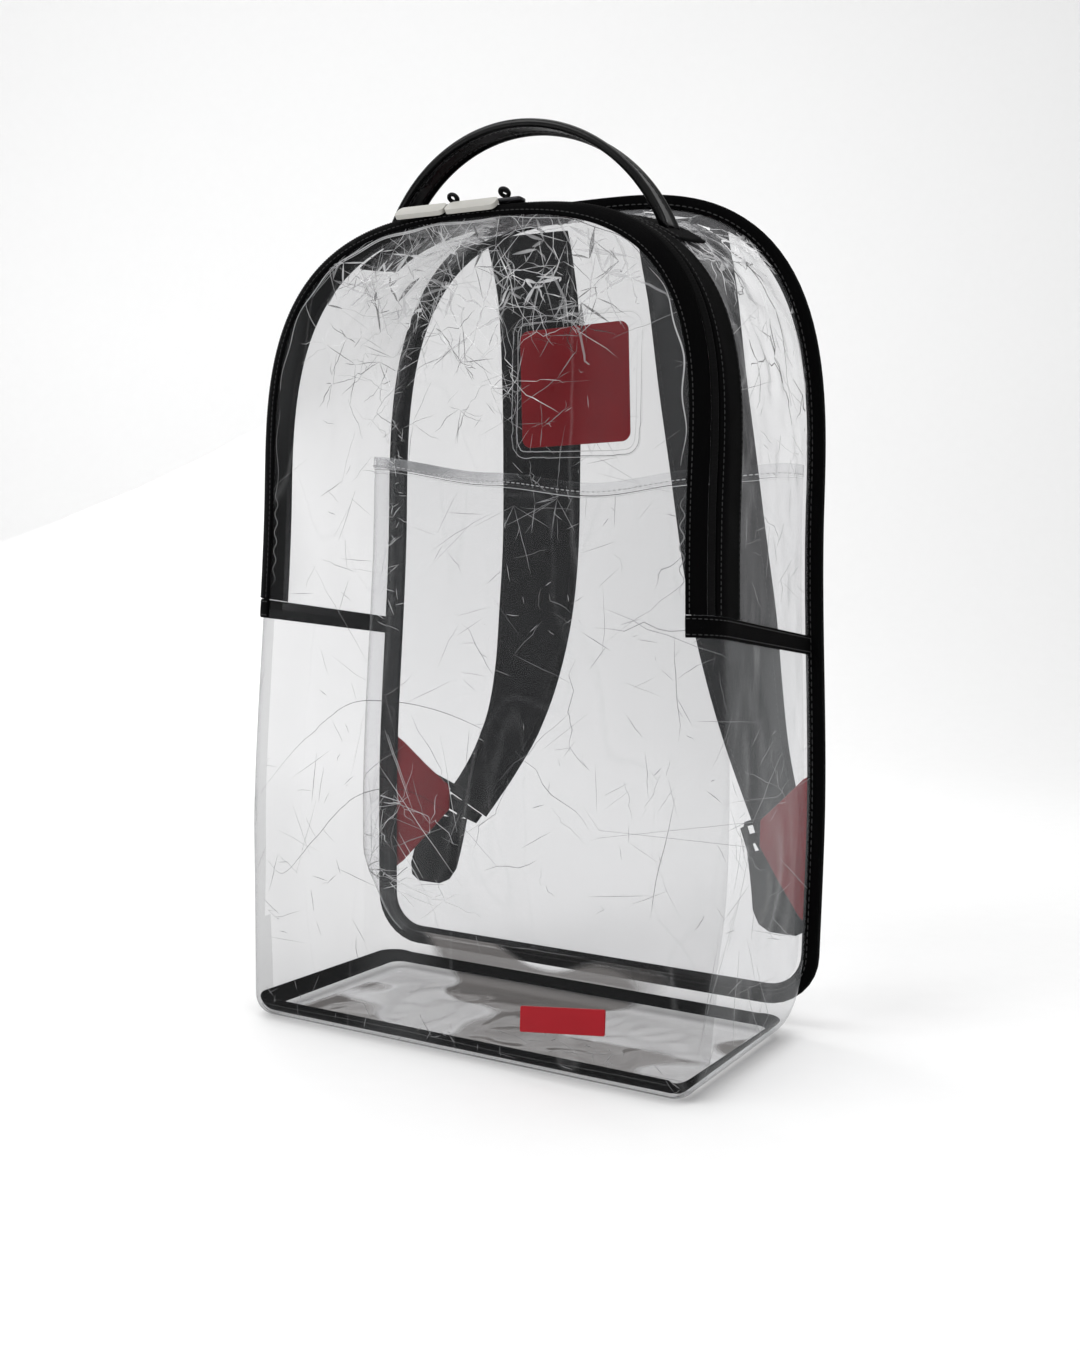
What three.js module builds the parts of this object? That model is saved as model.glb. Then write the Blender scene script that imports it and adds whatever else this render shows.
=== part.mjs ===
// Clear backpack with a see-through body, black binding and padded shoulder straps.
// Millimetres, +Z up. The origin is on the floor under the middle of the bag.
// The front faces -Y and the shoulder straps hang on the +Y side.
import * as THREE from 'three';
import { mergeVertices } from 'three/addons/utils/BufferGeometryUtils.js';

// Body of the bag
const BAG_DEPTH = 152;
const FRONT_HALF_WIDTH = 150;
const BACK_HALF_WIDTH = 149;
const FRONT_BASE_TAPER = 8;
const BACK_BASE_TAPER = 1;
const SPRING_TAPER = 6.5;
const WIDEST_HEIGHT = 120;
const SPRING_HEIGHT = 310;
const FRONT_HEIGHT = 459;
const BACK_HEIGHT = 489;
const TOP_SWEEP = 1.8;
const ARCH_POWER = 3;
const FACE_CORNER = 19;
const TOP_CORNER = 8;
const BASE_ROLL = 12;
const BASE_CORNER = 13;
const BACK_CORNER = 24;
const BASE_RISE = 23;
const BASE_BACK_ROLL = 18;
const LEAN_TOP = -9;
const LEAN_BASE = 5;
const FACE_BOW = 5;
const DENT_DEPTH = 6;

// Clear sheet and the clearance that touching pieces keep
const SHEET = 1.3;
const GAP = 0.3;
const BASE_LAP = 4;

// Side strips over the seam between the lower sheet and the upper gusset
const STRIP_FRONT_HEIGHT = 243;
const STRIP_BACK_HEIGHT = 230;
const STRIP_WIDTH = 11;
const STRIP_THICK = 1.4;

// Zip band
const BAND_START_ANGLE = 15;
const FRONT_TAPE_WIDTH = 10.5;
const REAR_TAPE_WIDTH = 26.5;
const TAPE_THICK = 1.4;
const COIL_WIDTH = 4;
const COIL_RIDGE = 0.5;
const TAPE_LAP = 6;

// Back rim: a folded binding with a slot that takes the edge of the back panel
const RIM_REACH = 8;
const RIM_FRONT_LIP = 3.2;
const RIM_BACK_LIP = 2.4;
const RIM_WEB = 2.6;
const RIM_LAP = 3;

// Binding inside the base seam
const BINDING_THICK = 1.5;
const BINDING_WIDTH = 11;
const BINDING_LOW_ANGLE = 34;
const BINDING_GAP = 1.2;

// Sleeve pocket inside the back panel
const SLEEVE_HEIGHT = 334;
const SLEEVE_DEPTH = 41;
const SLEEVE_SAG = 11;
const SLEEVE_FOOT = 3;
const HEM_WIDTH = 7;
const HEM_THICK = 2.6;

// Patch inside the back panel and label on the front
const PATCH_WIDTH = 76;
const PATCH_TALL = 73;
const PATCH_RADIUS = 6;
const PATCH_THICK = 1;
const PATCH_X = -12;
const PATCH_Z = 385;
const PATCH_TILT = -2.5;
const LABEL_WIDTH = 50;
const LABEL_TALL = 14;
const LABEL_THICK = 1.6;
const LABEL_RISE = 6;
const LABEL_X = 71;
const LABEL_Z = 34;

// Handle and the strip that carries it
const HANDLE_HALF_SPAN = 89.5;
const HANDLE_TOP = 516;
const HANDLE_WIDTH = 22;
const HANDLE_THICK = 4;
const HANDLE_EDGE = 6;
const HANDLE_X = -1;
const HANDLE_Y = -13;
const HANDLE_LEAN = -10;
const HANDLE_SEAT = -0.25;
const CARRIER_WIDTH = 40;
const CARRIER_THICK = 1.4;
const CARRIER_GAP = 0.5;
const CARRIER_END_ANGLE = 51;

// Shoulder straps, their webbing, adjusters and corner tabs
const STRAP_THICK = 8;
const STRAP_TOP_HEIGHT = 482;
const STRAP_END_HEIGHT = 106;
const STRAP_TOP_X = 53;
const STRAP_END_X = 116;
const STRAP_WIDTH = 61;
const STRAP_END_WIDTH = 36;
const STRAP_STAND_OFF = 62;
const TAB_LOW = 60;
const TAB_HIGH = 158;
const TAB_APEX_X = 112;
const TAB_APEX_Z = 114;
const TAB_APEX_STAND_OFF = 15;
const TAB_APEX_TALL = 16;
const TAB_THICK = 2;
const WEBBING_WIDTH = 28;
const WEBBING_THICK = 1.6;
const WEBBING_DIP = 7;
const ADJUSTER_WIDTH = 36;
const ADJUSTER_TALL = 22;
const ADJUSTER_THICK = 4;
const ADJUSTER_SLOT = 5;
const TAIL_LENGTH = 46;
const TAIL_DRIFT = 6;
const ADJUSTER_CORNER = 2.5;
const ADJUSTER_INSET = 6;
const ADJUSTER_TURN = 20;

// Zip sliders, their wire loops and pull tabs
const SLIDER_LENGTH = 15;
const SLIDER_WIDTH = 8;
const SLIDER_THICK = 2.4;
const SLIDER_SPACING = 32;
const SLIDER_FIRST_X = -13.5;
const LOOP_RADIUS = 3.2;
const LOOP_WIRE = 0.8;
const LOOP_TILT = 50;
const PULL_LENGTH = 31;
const PULL_WIDTH = 9;
const PULL_THICK = 2.6;
const PULL_ANGLE = 50;

const FRONT_Y = -BAG_DEPTH / 2;
const BACK_Y = BAG_DEPTH / 2;
const RIM_SEAT = RIM_FRONT_LIP + 3 * GAP;
const DEGREE = Math.PI / 180;

const lerp = (a, b, t) => a + (b - a) * t;
const clamp = (t) => Math.min(Math.max(t, 0), 1);
const smooth = (t) => clamp(t) ** 2 * (3 - 2 * clamp(t));
const vec = (x, y, z) => new THREE.Vector3(x, y, z);

// Value at a place in a table of [place, value] rows, eased between the rows
function fromTable(table, place) {
  if (place <= table[0][0]) return table[0][1];
  for (let i = 1; i < table.length; i += 1) {
    const [from, start] = table[i - 1];
    const [to, end] = table[i];
    if (place <= to) return lerp(start, end, smooth((place - from) / (to - from)));
  }
  return table[table.length - 1][1];
}

// Outline of the bag at one depth. depth runs from 0 at the front to 1 at the back.
// The base is flat, then rolls up to the back seam just in front of the rim.
function baseHeight(depth) {
  const before = (1 - depth) * BAG_DEPTH - RIM_SEAT;
  const into = clamp(1 - before / BASE_BACK_ROLL);
  return BASE_RISE * (1 - Math.sqrt(1 - into ** 2));
}
const cornerRadius = (depth) => lerp(BASE_CORNER, BACK_CORNER, clamp(depth));
const stripHeight = (depth) => lerp(STRIP_FRONT_HEIGHT, STRIP_BACK_HEIGHT, depth);
const archHeight = (depth) => lerp(FRONT_HEIGHT, BACK_HEIGHT, clamp(depth) ** TOP_SWEEP);

function halfWidth(z, depth) {
  const widest = lerp(FRONT_HALF_WIDTH, BACK_HALF_WIDTH, depth);
  const climb = (z - WIDEST_HEIGHT) / (SPRING_HEIGHT - WIDEST_HEIGHT);
  const baseTaper = lerp(FRONT_BASE_TAPER, BACK_BASE_TAPER, depth);
  return widest - baseTaper * (1 - smooth(z / WIDEST_HEIGHT)) - SPRING_TAPER * smooth(climb);
}

// Half outline by stage: 0 middle of the base, 1 start and 2 end of the base corner,
// 3 strip seam, 4 spring of the arch, 5 top of the arch
function outline(stage, depth) {
  const floor = baseHeight(depth);
  const corner = cornerRadius(depth);
  const cornerX = halfWidth(floor + corner, depth) - corner;
  if (stage <= 1) return [cornerX * stage, floor];
  if (stage <= 2) {
    const turn = (stage - 1) * Math.PI / 2;
    return [cornerX + corner * Math.sin(turn), floor + corner * (1 - Math.cos(turn))];
  }
  if (stage <= 3) {
    const z = lerp(floor + corner, stripHeight(depth), stage - 2);
    return [halfWidth(z, depth), z];
  }
  if (stage <= 4) {
    const z = lerp(stripHeight(depth), SPRING_HEIGHT, stage - 3);
    return [halfWidth(z, depth), z];
  }
  const turn = (stage - 4) * Math.PI / 2;
  const across = Math.max(Math.cos(turn), 0);
  const up = Math.sin(turn);
  const scale = (across ** ARCH_POWER + up ** ARCH_POWER) ** (-1 / ARCH_POWER);
  const rise = archHeight(depth) - SPRING_HEIGHT;
  return [halfWidth(SPRING_HEIGHT, depth) * across * scale, SPRING_HEIGHT + rise * up * scale];
}

function outwardNormal(stage, depth) {
  const step = 0.002;
  const [x0, z0] = outline(Math.max(stage - step, 0), depth);
  const [x1, z1] = outline(Math.min(stage + step, 5), depth);
  const length = Math.hypot(x1 - x0, z1 - z0);
  return [(z1 - z0) / length, -(x1 - x0) / length];
}

// Radius of the edge between the front face and the wall, by stage
const FACE_EDGE = [[0, BASE_ROLL], [2, BASE_ROLL], [2.4, FACE_CORNER], [4, FACE_CORNER], [5, TOP_CORNER]];

// Point on the bag's skin. turn runs from 0 to 1 round the face edge, then to 2 at the back.
// out is the distance outside the skin, and side is 1 for +X and -1 for -X.
function skin(side, stage, turn, out = 0) {
  const radius = fromTable(FACE_EDGE, stage);
  const angle = clamp(turn) * Math.PI / 2;
  const run = Math.max(turn - 1, 0) * (BAG_DEPTH - radius);
  const y = FRONT_Y + radius * (1 - Math.cos(angle)) + run;
  const depth = (y - FRONT_Y) / BAG_DEPTH;
  const [x, z] = outline(stage, depth);
  const [nx, nz] = outwardNormal(stage, depth);
  const reach = out * Math.sin(angle) - radius * (1 - Math.sin(angle));
  return vec(side * (x + nx * reach), y - out * Math.cos(angle), z + nz * reach);
}

// The turn at a distance along the skin from the edge of the front face
function turnAt(stage, distance) {
  const radius = fromTable(FACE_EDGE, stage);
  const arc = radius * Math.PI / 2;
  if (distance <= arc) return distance / arc;
  return 1 + (distance - arc) / (BAG_DEPTH - radius);
}

// The turn at a place y behind the face edge
function turnAtDepth(stage, y) {
  const radius = fromTable(FACE_EDGE, stage);
  return 1 + (y - FRONT_Y - radius) / (BAG_DEPTH - radius);
}

const bandStart = (stage) => fromTable(FACE_EDGE, stage) * BAND_START_ANGLE * DEGREE;
const coilStart = (stage) => bandStart(stage) + FRONT_TAPE_WIDTH + GAP;
const coilEnd = (stage) => coilStart(stage) + COIL_WIDTH;
const bandEnd = (stage) => coilEnd(stage) + GAP + REAR_TAPE_WIDTH;

// Stage that lies a given height above the strip seam, at one depth
const aboveSeam = (height, depth) => 3 + height / (SPRING_HEIGHT - stripHeight(depth));
const belowSeam = (height, depth) => 3 - height / (stripHeight(depth) - baseHeight(depth) - cornerRadius(depth));

// Solid builders. A sheet has matching outer and inner points and a list of outer faces.
function solidFrom(points, faces) {
  const geometry = new THREE.BufferGeometry();
  geometry.setAttribute('position', new THREE.Float32BufferAttribute(points.flatMap((p) => [p.x, p.y, p.z]), 3));
  let volume = 0;
  for (const [a, b, c] of faces) {
    volume += points[a].dot(points[b].clone().cross(points[c]));
  }
  const order = volume < 0 ? faces.map(([a, b, c]) => [a, c, b]) : faces;
  geometry.setIndex(order.flat());
  geometry.computeVertexNormals();
  return geometry;
}

function addTriangle(faces, a, b, c) {
  if (a !== b && b !== c && c !== a) faces.push([a, b, c]);
}

// Sheet over a grid. place(column, row) gives { outer, inner } or null where there is none.
function sheet(columns, rows, place, closed = false) {
  const outer = [];
  const inner = [];
  const known = new Map();
  const index = (column, row) => {
    const pair = place(closed ? column % columns : column, row);
    if (!pair) return -1;
    const key = pair.outer.toArray().map((value) => Math.round(value * 500)).join();
    if (!known.has(key)) {
      known.set(key, outer.length);
      outer.push(pair.outer);
      inner.push(pair.inner);
    }
    return known.get(key);
  };
  const faces = [];
  const lastColumn = closed ? columns : columns - 1;
  for (let column = 0; column < lastColumn; column += 1) {
    for (let row = 0; row < rows - 1; row += 1) {
      const a = index(column, row);
      const b = index(column + 1, row);
      const c = index(column + 1, row + 1);
      const d = index(column, row + 1);
      if (Math.min(a, b, c, d) < 0) continue;
      addTriangle(faces, a, b, c);
      addTriangle(faces, a, c, d);
    }
  }
  return thicken(outer, inner, faces);
}

function thicken(outer, inner, faces) {
  const count = outer.length;
  const edges = new Set(faces.flatMap(([a, b, c]) => [`${a},${b}`, `${b},${c}`, `${c},${a}`]));
  const all = [...faces, ...faces.map(([a, b, c]) => [a + count, c + count, b + count])];
  for (const edge of edges) {
    const [a, b] = edge.split(',').map(Number);
    if (edges.has(`${b},${a}`)) continue;
    all.push([b, a, a + count], [b, a + count, b + count]);
  }
  return solidFrom([...outer, ...inner], all);
}

// Body swept along frames { at, across, up }. section(i) gives [across, up] points in order.
function sweep(frames, section, closed = false) {
  const points = [];
  const faces = [];
  const size = section(0).length;
  frames.forEach(({ at, across, up }, i) => {
    for (const [b, n] of section(i)) {
      points.push(at.clone().addScaledVector(across, b).addScaledVector(up, n));
    }
  });
  const last = closed ? frames.length : frames.length - 1;
  for (let i = 0; i < last; i += 1) {
    const next = (i + 1) % frames.length;
    for (let j = 0; j < size; j += 1) {
      const k = (j + 1) % size;
      faces.push([i * size + j, i * size + k, next * size + k], [i * size + j, next * size + k, next * size + j]);
    }
  }
  if (!closed) {
    const end = (frames.length - 1) * size;
    const ends = [[0, true], [end, false]];
    for (const [start, flip] of ends) {
      const centre = points.length;
      const ring = points.slice(start, start + size);
      points.push(ring.reduce((sum, p) => sum.add(p), vec(0, 0, 0)).divideScalar(size));
      for (let j = 0; j < size; j += 1) {
        const a = start + j;
        const b = start + (j + 1) % size;
        faces.push(flip ? [centre, b, a] : [centre, a, b]);
      }
    }
  }
  return solidFrom(points, faces);
}

// Frames along a list of points, with up kept square to the path and nearest to a given direction
function framesAlong(points, upOf) {
  return points.map((at, i) => {
    const before = points[Math.max(i - 1, 0)];
    const after = points[Math.min(i + 1, points.length - 1)];
    const along = after.clone().sub(before).normalize();
    const wanted = upOf(i);
    const up = wanted.clone().addScaledVector(along, -wanted.dot(along)).normalize();
    return { at, along, up, across: along.clone().cross(up) };
  });
}

// Rounded section of a pad or a band
function roundedSection(width, thick, edge) {
  const half = width / 2;
  const tall = thick / 2;
  const shoulder = half - edge;
  return [
    [half, 0], [half - edge * 0.25, tall * 0.7], [shoulder, tall], [0, tall * 1.06], [-shoulder, tall],
    [-half + edge * 0.25, tall * 0.7], [-half, 0], [-half + edge * 0.25, -tall * 0.7], [-shoulder, -tall],
    [0, -tall * 1.06], [shoulder, -tall], [half - edge * 0.25, -tall * 0.7],
  ];
}

const flatSection = (width, thick) => [
  [width / 2, -thick / 2], [width / 2, thick / 2], [-width / 2, thick / 2], [-width / 2, -thick / 2],
];

const steps = (count, from = 0, to = 1) => Array.from({ length: count + 1 }, (_, i) => lerp(from, to, i / count));

// Stages of one side of the whole outline, and of the part above the strip seam
const LOWER_STAGES = [0, 0.5, ...steps(3, 1, 2), ...steps(4, 2, 3).slice(1)];
const UPPER_STAGES = [3.5, ...steps(9, 4, 5)];
const SIDE_STAGES = [...LOWER_STAGES, ...UPPER_STAGES];

// Distances from the front to the rows of the base, flat first and then up the roll to the rim
const FLAT_END = BAG_DEPTH - RIM_SEAT - BASE_BACK_ROLL;
const BASE_ROWS = [FLAT_END / 2, FLAT_END,
  ...steps(5, 0, 90).slice(1).map((angle) => FLAT_END + BASE_BACK_ROLL * Math.sin(angle * DEGREE)),
  BAG_DEPTH - GAP];

// Closed loop round the outline: up the right side and down the left one
const LOOP = [
  ...SIDE_STAGES.map((stage) => ({ side: 1, stage })),
  ...SIDE_STAGES.slice(1, -1).reverse().map((stage) => ({ side: -1, stage })),
];

// Arch from the left strip seam over the top to the right one. A stage of 3 stands for the seam.
const ARCH = [
  ...[3, ...UPPER_STAGES].map((stage) => ({ side: -1, stage })),
  ...[3, ...UPPER_STAGES].slice(0, -1).reverse().map((stage) => ({ side: 1, stage })),
];

// Dents of the front face: place and spread as shares of the half width and height
const FACE_DENTS = [
  { x: -0.45, z: 0.9, spread: 0.2, depth: 1 },
  { x: 0.05, z: 0.86, spread: 0.16, depth: 0.8 },
  { x: 0.5, z: 0.8, spread: 0.18, depth: 0.6 },
  { x: -0.62, z: 0.35, spread: 0.22, depth: 0.7 },
  { x: 0.55, z: 0.42, spread: 0.25, depth: 0.5 },
];

// How far the front face stands forward of its edge. rest is 0 at the middle and 1 at the edge.
function faceRelief(x, z, rest) {
  const dents = FACE_DENTS.reduce((sum, dent) => {
    const away = Math.hypot(x - dent.x * FRONT_HALF_WIDTH, z - dent.z * FRONT_HEIGHT);
    return sum + dent.depth * Math.exp(-((away / (dent.spread * FRONT_HALF_WIDTH)) ** 2));
  }, 0);
  return FACE_BOW * (1 - rest ** 2) - DENT_DEPTH * dents * smooth((1 - rest) * 4);
}

// Front face with its rolled edge. Below the strips it runs back along the sides to the panel.
function frontSheet() {
  const rings = [0, 0.2, 0.42, 0.64, 0.84];
  const lapTurn = 1 + BASE_LAP / (BAG_DEPTH - BASE_ROLL);
  const turns = [0, 1 / 6, 1 / 3, 2 / 3, 1, lapTurn];
  const middle = vec(0, FRONT_Y, (FRONT_HEIGHT - BASE_ROLL) / 2);
  const onFace = (side, stage, ring) => {
    const edge = skin(side, stage, 0);
    const outer = middle.clone().lerp(edge, ring);
    outer.y -= faceRelief(outer.x, outer.z, ring);
    return { outer, inner: outer.clone().setY(outer.y + SHEET) };
  };
  const place = (column, row) => {
    const { side, stage } = LOOP[column];
    if (row < rings.length) return onFace(side, stage, rings[row]);
    const along = row - rings.length;
    const turn = turns[along] ?? turnAtDepth(stage, FRONT_Y + BASE_ROWS[along - turns.length]);
    if (stage > 3 && turn > 1 / 3) return null;
    if (stage < 1 && turn > lapTurn) return null;
    return { outer: skin(side, stage, turn), inner: skin(side, stage, turn, -SHEET) };
  };
  return sheet(LOOP.length, rings.length + turns.length + BASE_ROWS.length, place, true);
}

// Strip on the skin over the arch, between two distances from the face edge
function archBand(fromOf, toOf, cells, inside, outside, lift) {
  const place = (column, row) => {
    const { side, stage } = ARCH[column];
    const distance = lerp(fromOf(stage), toOf(stage), row / cells);
    const turn = turnAt(stage, distance);
    const depth = (skin(side, stage, turn).y - FRONT_Y) / BAG_DEPTH;
    const used = stage === 3 ? aboveSeam(lift, depth) : stage;
    return {
      outer: skin(side, used, turn, typeof outside === 'function' ? outside(row) : outside),
      inner: skin(side, used, turn, inside),
    };
  };
  return sheet(ARCH.length, cells + 1, place);
}

const wallEnd = (stage) => {
  const radius = fromTable(FACE_EDGE, stage);
  return radius * Math.PI / 2 + BAG_DEPTH - radius - GAP;
};
const upperGusset = () => archBand((s) => bandEnd(s) - TAPE_LAP, wallEnd, 4, -SHEET, 0, GAP);
const tapeLift = STRIP_WIDTH / 2 + GAP;
const TAPE_OUT = GAP + TAPE_THICK;
const frontTape = () => archBand(bandStart, (s) => bandStart(s) + FRONT_TAPE_WIDTH, 4, GAP, TAPE_OUT, tapeLift);
const rearTape = () => archBand((s) => coilEnd(s) + GAP, bandEnd, 3, GAP, TAPE_OUT, tapeLift);
const coilOut = (row) => TAPE_OUT + (row === 1 ? COIL_RIDGE : 0);
const zipCoil = () => archBand(coilStart, coilEnd, 2, GAP, coilOut, tapeLift);

// Strip over the side seam, from the band's front edge to the back rim
function sideStrip(side) {
  const turns = [BAND_START_ANGLE / 90, 1 / 3, 2 / 3, 1, 1.25, 1.5, 1.75, 2];
  const rimTurn = (RIM_FRONT_LIP + 2 * GAP) / (BAG_DEPTH - FACE_CORNER);
  const place = (column, row) => {
    const turn = column === turns.length - 1 ? 2 - rimTurn : turns[column];
    const depth = (skin(side, 3, turn).y - FRONT_Y) / BAG_DEPTH;
    const stage = row === 0 ? belowSeam(STRIP_WIDTH / 2, depth) : aboveSeam(STRIP_WIDTH / 2, depth);
    return { outer: skin(side, stage, turn, GAP + STRIP_THICK), inner: skin(side, stage, turn, GAP) };
  };
  return sheet(turns.length, 2, place);
}

// Clear bottom, flat in front and rolled up to the back seam
function basePanel() {
  const edge = 1 - GAP / (FRONT_HALF_WIDTH - BASE_CORNER);
  const across = steps(4, -edge, edge);
  const depths = [BASE_ROLL + BASE_LAP + GAP, ...BASE_ROWS];
  const place = (column, row) => {
    const stage = Math.abs(across[column]);
    const turn = turnAtDepth(stage, FRONT_Y + depths[row]);
    const side = Math.sign(across[column]) || 1;
    return { outer: skin(side, stage, turn), inner: skin(side, stage, turn, -SHEET) };
  };
  return sheet(across.length, depths.length, place);
}

// Binding on the inside of the rolled base edge, all the way round. swing runs from 0 on the
// front or back run to 90 on a side, and slope is the place round the roll, from the floor up.
function baseBinding() {
  const corner = steps(4, 0, 90);
  const ways = [[1, -1], [1, 1], [-1, 1], [-1, -1]];
  const loop = ways.flatMap(([side, way], i) => corner.map((angle) => ({ side, way, swing: i % 2 ? 90 - angle : angle })));
  const rollOf = ({ way, swing }) => {
    const runRadius = way < 0 ? BASE_ROLL : BASE_BACK_ROLL;
    const sideRadius = way < 0 ? BASE_CORNER : BACK_CORNER;
    return lerp(runRadius, sideRadius, swing / 90);
  };
  const at = (node, share, out) => {
    const slope = BINDING_LOW_ANGLE + share * BINDING_WIDTH / rollOf(node) / DEGREE;
    const toSide = Math.sin(node.swing * DEGREE);
    const toRun = Math.cos(node.swing * DEGREE);
    const stage = 1 + slope / 90 * toSide;
    const backY = FRONT_Y + FLAT_END + BASE_BACK_ROLL * Math.sin(slope * DEGREE) * toRun;
    const turn = node.way < 0 ? 1 - slope / 90 * toRun : turnAtDepth(stage, backY);
    return skin(node.side, stage, turn, -out);
  };
  const outside = SHEET + BINDING_GAP;
  const place = (column, row) => ({
    outer: at(loop[column], row / 2, outside),
    inner: at(loop[column], row / 2, outside + BINDING_THICK),
  });
  return sheet(loop.length, 3, place, true);
}

// Point beside the back outline, a distance out from it
function besideBack({ side, stage }, out, y) {
  const [x, z] = outline(stage, 1);
  const [nx, nz] = outwardNormal(stage, 1);
  return vec(side * (x + nx * out), y, z + nz * out);
}

// Clear back panel, whose edge reaches into the rim
function backPanel() {
  const rings = [0, 0.35, 0.7, 1];
  const reach = RIM_REACH - RIM_WEB - GAP;
  const middle = vec(0, BACK_Y, BACK_HEIGHT / 2);
  const place = (column, row) => {
    const outer = middle.clone().lerp(besideBack(LOOP[column], reach, BACK_Y), rings[row]);
    return { outer, inner: outer.clone().setY(outer.y + SHEET) };
  };
  return sheet(LOOP.length, rings.length, place, true);
}

// Folded binding round the back edge, a channel open towards the panel
function backRim() {
  const slotFront = BACK_Y - GAP;
  const slotBack = BACK_Y + SHEET + GAP;
  const section = [
    [GAP, slotFront - RIM_FRONT_LIP], [RIM_REACH - 1.5, slotFront - RIM_FRONT_LIP],
    [RIM_REACH, slotFront - 1], [RIM_REACH, slotBack + 1],
    [RIM_REACH - 1.5, slotBack + RIM_BACK_LIP], [-RIM_LAP, slotBack + RIM_BACK_LIP],
    [-RIM_LAP, slotBack], [RIM_REACH - RIM_WEB, slotBack],
    [RIM_REACH - RIM_WEB, slotFront], [GAP, slotFront],
  ];
  const frames = LOOP.map((node) => {
    const at = besideBack(node, 0, 0);
    return { at, across: besideBack(node, 1, 0).sub(at), up: vec(0, 1, 0) };
  });
  return sweep(frames, () => section, true);
}

// Sleeve pocket: its stand-off from the panel and its sag, by place across from -1 to 1
const SLEEVE_STAND_OFF = [[-1, 0], [-0.993, 0.9], [-0.965, 1], [-0.88, 0.97], [-0.6, 0.72], [-0.2, 0.6],
  [0.3, 0.5], [0.7, 0.46], [0.94, 0.4], [0.985, 0.24], [1, 0]];
const SLEEVE_HEM_SAG = [[-1, -0.5], [-0.4, 0.4], [0.1, 1], [0.6, 0.3], [1, 0]];
const SLEEVE_COLUMNS = [-1, -0.993, -0.965, -0.88, -0.6, -0.35, -0.1, 0.1, 0.3, 0.5, 0.75, 0.94, 0.985, 1];

function sleevePoint(across, z, tight, out) {
  const stand = SLEEVE_DEPTH * fromTable(SLEEVE_STAND_OFF, across) * tight + GAP + out;
  const y = BACK_Y - stand;
  const room = halfWidth(z, (y - FRONT_Y) / BAG_DEPTH) - SHEET - HEM_THICK;
  return vec(across * room, y, z);
}

const hemHeight = (across) => SLEEVE_HEIGHT - SLEEVE_SAG * fromTable(SLEEVE_HEM_SAG, across);

function innerSleeve() {
  const foot = BASE_RISE + BACK_CORNER + SLEEVE_FOOT;
  const rows = [0, 0.08, 0.25, 0.45, 0.65, 0.82, 1];
  const place = (column, row) => {
    const across = SLEEVE_COLUMNS[column];
    const z = lerp(foot, hemHeight(across) - HEM_WIDTH - GAP, rows[row]);
    const tight = lerp(0.3, 1, smooth(rows[row] * 5));
    return { outer: sleevePoint(across, z, tight, SHEET), inner: sleevePoint(across, z, tight, 0) };
  };
  return sheet(SLEEVE_COLUMNS.length, rows.length, place);
}

function sleeveHem() {
  const place = (column, row) => {
    const across = SLEEVE_COLUMNS[column];
    const z = hemHeight(across) - HEM_WIDTH * (1 - row);
    return { outer: sleevePoint(across, z, 1, HEM_THICK), inner: sleevePoint(across, z, 1, 0) };
  };
  return sheet(SLEEVE_COLUMNS.length, 2, place);
}

// Flat plate with rounded corners, facing the front
function roundedPlate(width, tall, radius, thick, slope = 0) {
  const shape = new THREE.Shape();
  const halfX = width / 2 - radius;
  const halfZ = tall / 2 - radius;
  shape.absarc(halfX, halfZ + slope / 2, radius, 0, Math.PI / 2);
  shape.absarc(-halfX, halfZ - slope / 2, radius, Math.PI / 2, Math.PI);
  shape.absarc(-halfX, -halfZ - slope / 2, radius, Math.PI, Math.PI * 1.5);
  shape.absarc(halfX, -halfZ + slope / 2, radius, Math.PI * 1.5, Math.PI * 2);
  const plate = new THREE.ExtrudeGeometry(shape, { depth: thick, bevelEnabled: false, curveSegments: 4 });
  return plate.rotateX(Math.PI / 2);
}

// Height of the bag's top above a place, with a distance out from the skin
function topHeight(x, y, out) {
  const depth = (y - FRONT_Y) / BAG_DEPTH;
  const share = Math.min(Math.abs(x) / halfWidth(SPRING_HEIGHT, depth), 0.98) ** ARCH_POWER;
  const rise = archHeight(depth) - SPRING_HEIGHT;
  const slope = rise / halfWidth(SPRING_HEIGHT, depth) * share ** (2 / 3) * (1 - share) ** (-2 / 3);
  return SPRING_HEIGHT + rise * (1 - share) ** (1 / ARCH_POWER) + out * Math.hypot(1, slope);
}

// Strip over the shoulders that carries the handle
function handleCarrier() {
  const end = 4 + CARRIER_END_ANGLE / 90;
  const half = [end, ...UPPER_STAGES.filter((stage) => stage > end + 0.03)];
  const nodes = [...half.map((stage) => ({ side: -1, stage })),
    ...half.slice(0, -1).reverse().map((stage) => ({ side: 1, stage }))];
  const place = (column, row) => {
    const { side, stage } = nodes[column];
    const turn = turnAtDepth(stage, HANDLE_Y + CARRIER_WIDTH * (row / 4 - 0.5));
    return { outer: skin(side, stage, turn, CARRIER_GAP + CARRIER_THICK), inner: skin(side, stage, turn, CARRIER_GAP) };
  };
  return sheet(nodes.length, 5, place);
}

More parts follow.
